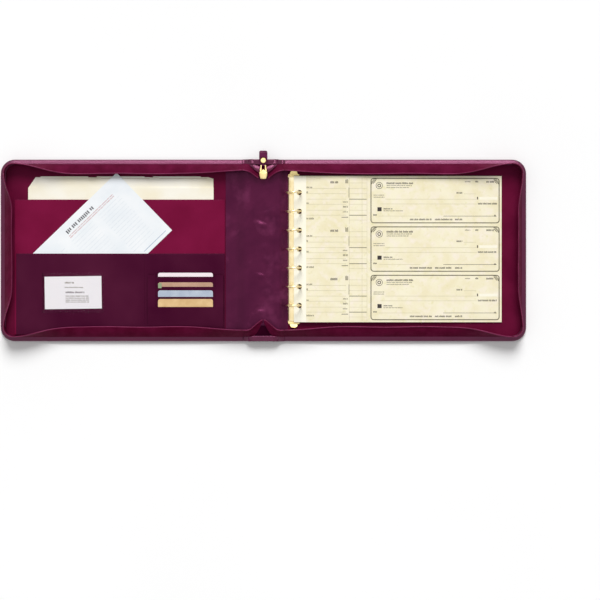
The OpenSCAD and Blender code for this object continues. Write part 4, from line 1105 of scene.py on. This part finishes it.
def marks_mesh(name, quads, place, mat, lift):
    """One mesh of flat marks. place turns the sheet's own x and y into points in millimetres."""
    quads = np.concatenate(quads)
    pts = place(*quads.reshape(-1, 2).T) + [0, 0, lift]
    obj = make_object(name, pts, np.arange(len(pts)).reshape(-1, 4))
    obj.data.polygons.foreach_set("use_smooth", [False] * len(obj.data.polygons))
    print(name, len(quads), "marks")
    return paint(obj, mat)


print("a corner ornament has", len(fan(0, 0, 1, 2, 0)), "wedges")

# %% [markdown]
# ## Checks and stubs
# Three checks share one sheet with a stub column on their left, next to the holes. The sheet leans
# down from the ring metal to the lining, so the marks take their height from that slope. Frames,
# fields and rows repeat with the pitch of the checks.

# %% Helper: a point on the leaning sheet
sheet_lo, sheet_hi = node_case("top_check_sheet")
SHEET_T = 0.3
bound_x = sheet_lo[0]
sheet_slope = (sheet_hi[2] - sheet_lo[2] - SHEET_T) / (sheet_hi[0] - bound_x)


def on_page(x, y):
    """A point on the leaning top sheet: z = highest - slope (x - bound edge)."""
    return spread(x, y, sheet_hi[2] - sheet_slope * (x - bound_x))


print("the sheet falls", round(math.degrees(math.atan(sheet_slope)), 2), "degrees")

# %% [markdown]
# ## One check, drawn three times
# The tables hold one check: rows of type, ruled lines and solid blocks, each with its ink. Columns are
# the photograph's, and heights are photograph rows below the check's top edge.

# %% The tables, and the print of three checks
CHECK_TOPS, CHECK_TALL = (178.3, 226.6, 274.9), 45.2
CHECK_X, STUB_X, LEDGER_X = (370.3, 499.2), (306.5, 346), (349, 366.4)
FRAME_R, FRAME_W, FAN_IN, FAN_R = 5.0, 1.5, 0.6, (4.2, 9.0)
# Rows of type by ink: first and last column, lower and upper row, and the width of a letter in millimetres
TYPE_ROWS = [
    ("dark", [(386.4, 413.5, 6.2, 4.2, 1.6), (383.4, 393, 31.4, 30, 1.3), (373, 377.5, 37.6, 36, 1.2),
              (456.2, 462.6, 15.6, 13.9, 1.2), (486, 494.2, 4.6, 2.7, 1.4), (475, 478.6, 4.4, 2.6, 1.2),
              (477.6, 497, 26.4, 24.6, 1.2), (409.6, 432, 42.2, 40.4, 1.5), (434.6, 452.5, 42.2, 40.4, 1.5),
              (454.7, 463, 42.2, 40.4, 1.5), (493.8, 496.2, 38.4, 36.6, 1.4)]),
    ("grey", [(386.4, 411.8, 8, 7, 0.9), (386.4, 408.6, 10, 9, 0.9), (383.4, 403, 33.2, 32.2, 0.9),
              (373.4, 384.5, 17.6, 16.6, 0.9), (373.4, 384.5, 19.6, 18.6, 0.9), (464.6, 470.4, 4.2, 3, 1.0),
              (306.5, 313, 10.2, 8.6, 1.2), (306.5, 308.6, 15.4, 13.2, 1.2), (306.5, 309, 26, 24.4, 1.2),
              (306.5, 314.6, 41.4, 39.6, 1.1), (342.8, 347.8, 24.6, 23.2, 1.0),
              (342.8, 347.8, 29.6, 27.6, 1.0), (342.8, 347.8, 34.4, 33.2, 1.0), (345.2, 348.4, 5.4, 0.6, 1.2)]),
    ("dark", [(330.4, 338.8, 5.4, 3, 1.6)])]
# Lines: ink, first and last column, rows, and width in millimetres
RULES = [("dark", 443, 496.2, 38, 0.55), ("dark", 341.4, 348, 39.2, 0.8),
         ("frame", *LEDGER_X, (21.2, 37.2), 1.0), ("pale", 385, 476, 21.2, 0.6),
         ("pale", 380, 476.5, 25.9, 0.6), ("pale", 463.4, 475.6, 15.8, 0.6), ("pale", 378.6, 420, 38, 0.6),
         ("pale", *STUB_X, (10.5, 15.7, 21.2, 26.3, 32.2, 37.2), 0.6),
         ("pale", *LEDGER_X, (5, 10.5, 15.7, 26.3, 32.2, 42), 0.5)]
# Blocks: ink, first and last column, lower and upper row
BLOCKS = [("dark", 377.2, 381.4, 33.2, 29.2), ("dark", 476.6, 477.6, 21.4, 18.8),
          ("margin", 478.8, 497, 21.6, 18.8)]
# Seals: first and last column, lower and upper row, corner radius and width of the ring in millimetres
SEALS = [(375.6, 382.4, 11, 4.2, 5.3, 0.7), (377.2, 380.8, 9.4, 5.8, 2.8, 1.2)]
# Upright lines of the ledger column
LEDGER_LINES = (349, 361.7, 366.6)
marks = {ink: [] for ink in ("frame", "dark", "grey", "pale", "margin")}
(check_x0, check_x1), ledger_x = px(CHECK_X), px(LEDGER_X[0])
for top in CHECK_TOPS:
    y1, y0 = py(top), py(top + CHECK_TALL)
    marks["frame"] += [rounded_frame(check_x0, y0, check_x1, y1, FRAME_R, FRAME_W),
                       fan(check_x0 + FAN_IN, y1 - FAN_IN, *FAN_R, 270),
                       fan(check_x1 - FAN_IN, y1 - FAN_IN, *FAN_R, 180),
                       boxes((ledger_x - 0.7, py(top + 19.6), ledger_x, py(top + 9.6)))]
    marks["pale"] += [boxes((px(x), py(top + 46), px(x) + 0.5, py(top - 0.4))) for x in LEDGER_LINES]
    for x0, x1, low, high, radius, width in SEALS:
        marks["dark"].append(rounded_frame(px(x0), py(top + low), px(x1), py(top + high), radius, width))
    for tone, rows in TYPE_ROWS:
        marks[tone] += [type_row(px(x0), px(x1), py(top + low), py(top + high), letter)
                       for x0, x1, low, high, letter in rows]
    for ink, x0, x1, rows, width in RULES:
        marks[ink].append(line_marks(px(x0), px(x1), py(top + np.array(rows)), width))
    for ink, x0, x1, low, high in BLOCKS:
        marks[ink].append(boxes((px(x0), py(top + low), px(x1), py(top + high))))
print(len(CHECK_TOPS), "checks,", {ink: sum(map(len, quads)) for ink, quads in marks.items()})

# %% [markdown]
# ## The margin and its holes
# The bound edge is a paler margin with seven punched holes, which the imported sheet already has. The
# margin is laid round the holes as plain boxes, so that the holes stay open.

# %% Margin, and one mesh for each ink
HOLE_IN, HOLE_R, HOLES, END_MARGIN, PAPER_IN = 8.6, 4.1, 7, 26.1, 0.3
low_y, high_y = sheet_lo[1] + PAPER_IN, sheet_hi[1] - PAPER_IN
hole_y = np.linspace(sheet_lo[1] + END_MARGIN, sheet_hi[1] - END_MARGIN, HOLES)
hole_x0, hole_x1 = bound_x + HOLE_IN - HOLE_R, bound_x + HOLE_IN + HOLE_R
marks["margin"] += [boxes((bound_x + PAPER_IN, low_y, hole_x0, high_y)),
                    boxes((hole_x1, low_y, px(STUB_X[0]) - 0.6, high_y))]
marks["margin"] += [boxes((hole_x0, a, hole_x1, b))
                    for a, b in zip([low_y, *hole_y + HOLE_R], [*hole_y - HOLE_R, high_y])]
PAGE_PRINT = [("check_frames", "frame", ink_brown, 0.07), ("check_type", "dark", ink_black, 0.08),
              ("check_small_type", "grey", ink_brown, 0.06), ("check_rules", "pale", ink_pale, 0.05),
              ("check_margin", "margin", margin_paper, 0.04)]
for name, ink, mat, lift in PAGE_PRINT:
    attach(marks_mesh(name, marks[ink], on_page, mat, lift), "check_pages")

# %% [markdown]
# ## Form and card print
# The loose form and the business card carry rows of type only, which stand for words without being
# any. The form's rows are drawn in its own directions and turned with it.

# %% Rows on the form
FORM_MID, FORM_TURN, FORM_TOP = (-260.0, 5.3), -46.0, 6.36
FOLD_Y, FORM_LIFT = -5.0, 0.03


def on_form(x, y):
    """Turn the form's own across and along into the case's x and y."""
    c, s_ = math.cos(math.radians(FORM_TURN)), math.sin(math.radians(FORM_TURN))
    return spread(FORM_MID[0] + x * c - y * s_, FORM_MID[1] + x * s_ + y * c, FORM_TOP)


def turned_row(u0, u1, v0, v1, letter):
    """A row that runs along the form: type_row with its two directions exchanged."""
    return type_row(v0, v1, u0, u1, letter)[..., ::-1]


def above_fold(quads):
    """Only the marks whose four corners all lie on the part of the form that shows."""
    y = on_form(*quads.reshape(-1, 2).T)[:, 1].reshape(-1, 4)
    return quads[y.min(axis=1) > FOLD_Y + 1]


heading = turned_row(-52.0, -45.8, -18.6, 40.2, 3.4)
red_rows = np.concatenate([turned_row(u, u + 1.4, -20, 75, 1.5) for u in (-43, -40)])
body_rows = np.concatenate([turned_row(u, u + 0.9, v, v + 46, 1.6)
                            for u in np.arange(-34, 46, 5.6) for v in (-82, -22, 36)])
body_lines = boxes([(55.5, 48, 56.6, 95)])
for name, quads, mat in (("form_heading", heading, ink_grey), ("form_red_rows", red_rows, ink_red),
                         ("form_body_rows", body_rows, ink_faint), ("form_lines", body_lines, ink_blue)):
    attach(marks_mesh(name, [above_fold(quads)], on_form, mat, FORM_LIFT), "front_cover")

# %% [markdown]
# ## Card print
# One end of the orange card is green. The business card has a small block of rows; a darker row in it
# stands for a name, without being one.

# %% Green end and business card rows
orange_lo, orange_hi = node_case("card_2")
card_z = node_case("id_card")[1][2]
GREEN_END, GREEN_RISE, CARD_LIFT = 5.6, 9.0, 0.03


def on_orange(x, y):
    """A point on the orange card, at the height of its upper face."""
    return spread(x, y, orange_hi[2])


def on_card(x, y):
    """A point on the business card, at the height of its upper face."""
    return spread(x, y, card_z)


green = boxes((orange_lo[0] + 0.2, orange_hi[1] - GREEN_RISE, orange_lo[0] + GREEN_END, orange_hi[1] - 1.2))
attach(marks_mesh("second_card_green_end", [green], on_orange, card_green, CARD_LIFT),
        "second_card")
# Each row: first and last column, upper and lower row, and the width of a letter in millimetres
CARD_ROWS = [(65.4, 75.8, 281.7, 283.6, 1.9), (65.4, 84.4, 286.8, 288.0, 1.2)]
CARD_ROWS += [(66.3, 90.0, y, y + 1.1, 1.2) for y in (295.5, 297.5, 299.5, 301.4)]
DARK_ROW = (66.3, 86, 291.4, 293.2, 1.7)
for name, rows, mat in (("card_grey_rows", CARD_ROWS, ink_brown), ("card_dark_row", [DARK_ROW], ink_black)):
    quads = [type_row(px(x0), px(x1), py(low), py(high), letter) for x0, x1, high, low, letter in rows]
    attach(marks_mesh(name, quads, on_card, mat, CARD_LIFT), "business_card")

# %% [markdown]
# ## The floor
# The case lies on a pale, matt table. It is a plain square, far larger than the case, just under it.

# %% Floor
FLOOR_HALF, FLOOR_Z = 4, -0.0005
floor_mesh = bpy.data.meshes.new("floor")
corners = [(x * FLOOR_HALF, y * FLOOR_HALF, FLOOR_Z) for x, y in ((-1, -1), (1, -1), (1, 1), (-1, 1))]
floor_mesh.from_pydata(corners, [], [(0, 1, 2, 3)])
floor = bpy.data.objects.new("floor", floor_mesh)
bpy.context.scene.collection.objects.link(floor)
floor_mat = finish("floor_white", (255, 255, 255), (253, 253, 253), 0.9, 2, gloss=0.2)
floor.data.materials.append(floor_mat)
print("floor:", 2 * FLOOR_HALF, "m square")

# %% [markdown]
# ## Lamps
# Studio light comes from a large soft source beyond the case's upper edge: the padded rim catches
# it along the top, and a shadow shows below the lower edge. A distant lamp with a wide angle gives
# the same light over the whole floor, which an area lamp wouldn't.

# %% Lamps
KEY_TILT, KEY_TURN, KEY_SOFT = 50.0, -4.0, 30.0
FILL_TILT, FILL_TURN, FILL_SOFT = 20.0, 90.0, 60.0
KEY_SHARE, FILL_SHARE, WORLD_SHARE = 0.58, 0.05, 0.38


def sun_lamp(name, tilt, turn, soft, share):
    """A distant lamp; a level face gets share * pi watts per square metre.

    The lamp leans by tilt from straight above, toward the compass angle turn, 0 being +Y."""
    lamp = bpy.data.lights.new(name, "SUN")
    lamp.angle = math.radians(soft)
    lamp.energy = math.pi * share / math.cos(math.radians(tilt))
    obj = bpy.data.objects.new(name, lamp)
    bpy.context.scene.collection.objects.link(obj)
    obj.rotation_euler = (-math.radians(tilt), 0, math.radians(turn))


sun_lamp("key_lamp", KEY_TILT, KEY_TURN, KEY_SOFT, KEY_SHARE)
sun_lamp("fill_lamp", FILL_TILT, FILL_TURN, FILL_SOFT, FILL_SHARE)

# %% [markdown]
# ## The world
# The world gives a soft even light. What the camera and the reflections see of it is plain white, and
# only the light that it sheds is held back, which keeps the page of the photograph white.

# %% World
scene_world = bpy.data.worlds.new("studio")
bpy.context.scene.world = scene_world
scene_world.use_nodes = True
world_tree = scene_world.node_tree
background = world_tree.nodes["Background"]
rays = node(world_tree, "LightPath")
seen = math_node(world_tree, "MAXIMUM", rays.outputs["Is Camera Ray"], rays.outputs["Is Transmission Ray"])
seen = math_node(world_tree, "MAXIMUM", seen, rays.outputs["Is Glossy Ray"])
fill(world_tree, background, {"Color": (1, 1, 1, 1),
                              "Strength": math_node(world_tree, "MAXIMUM", seen, WORLD_SHARE)})
print("light on a level face:", KEY_SHARE + FILL_SHARE + WORLD_SHARE)

# %% [markdown]
# ## The camera
# The photograph is taken from straight above and far away, so its lines stay parallel. The lens is
# worked out from the field: focal length = sensor width * height / field width.

# %% Camera straight above
FIELD_MM, HEIGHT_MM, SENSOR_MM, PHOTO_MID = 940.2, 3000.0, 36, 300
camera_data = bpy.data.cameras.new("camera")
camera_data.sensor_width = SENSOR_MM
camera_data.lens = SENSOR_MM * HEIGHT_MM / FIELD_MM
camera = bpy.data.objects.new("camera", camera_data)
bpy.context.scene.collection.objects.link(camera)
camera.location = spot(px(PHOTO_MID), py(PHOTO_MID), HEIGHT_MM)
bpy.context.scene.camera = camera
bpy.context.scene.view_settings.view_transform = "Standard"
print("lens:", round(camera_data.lens, 1), "mm")
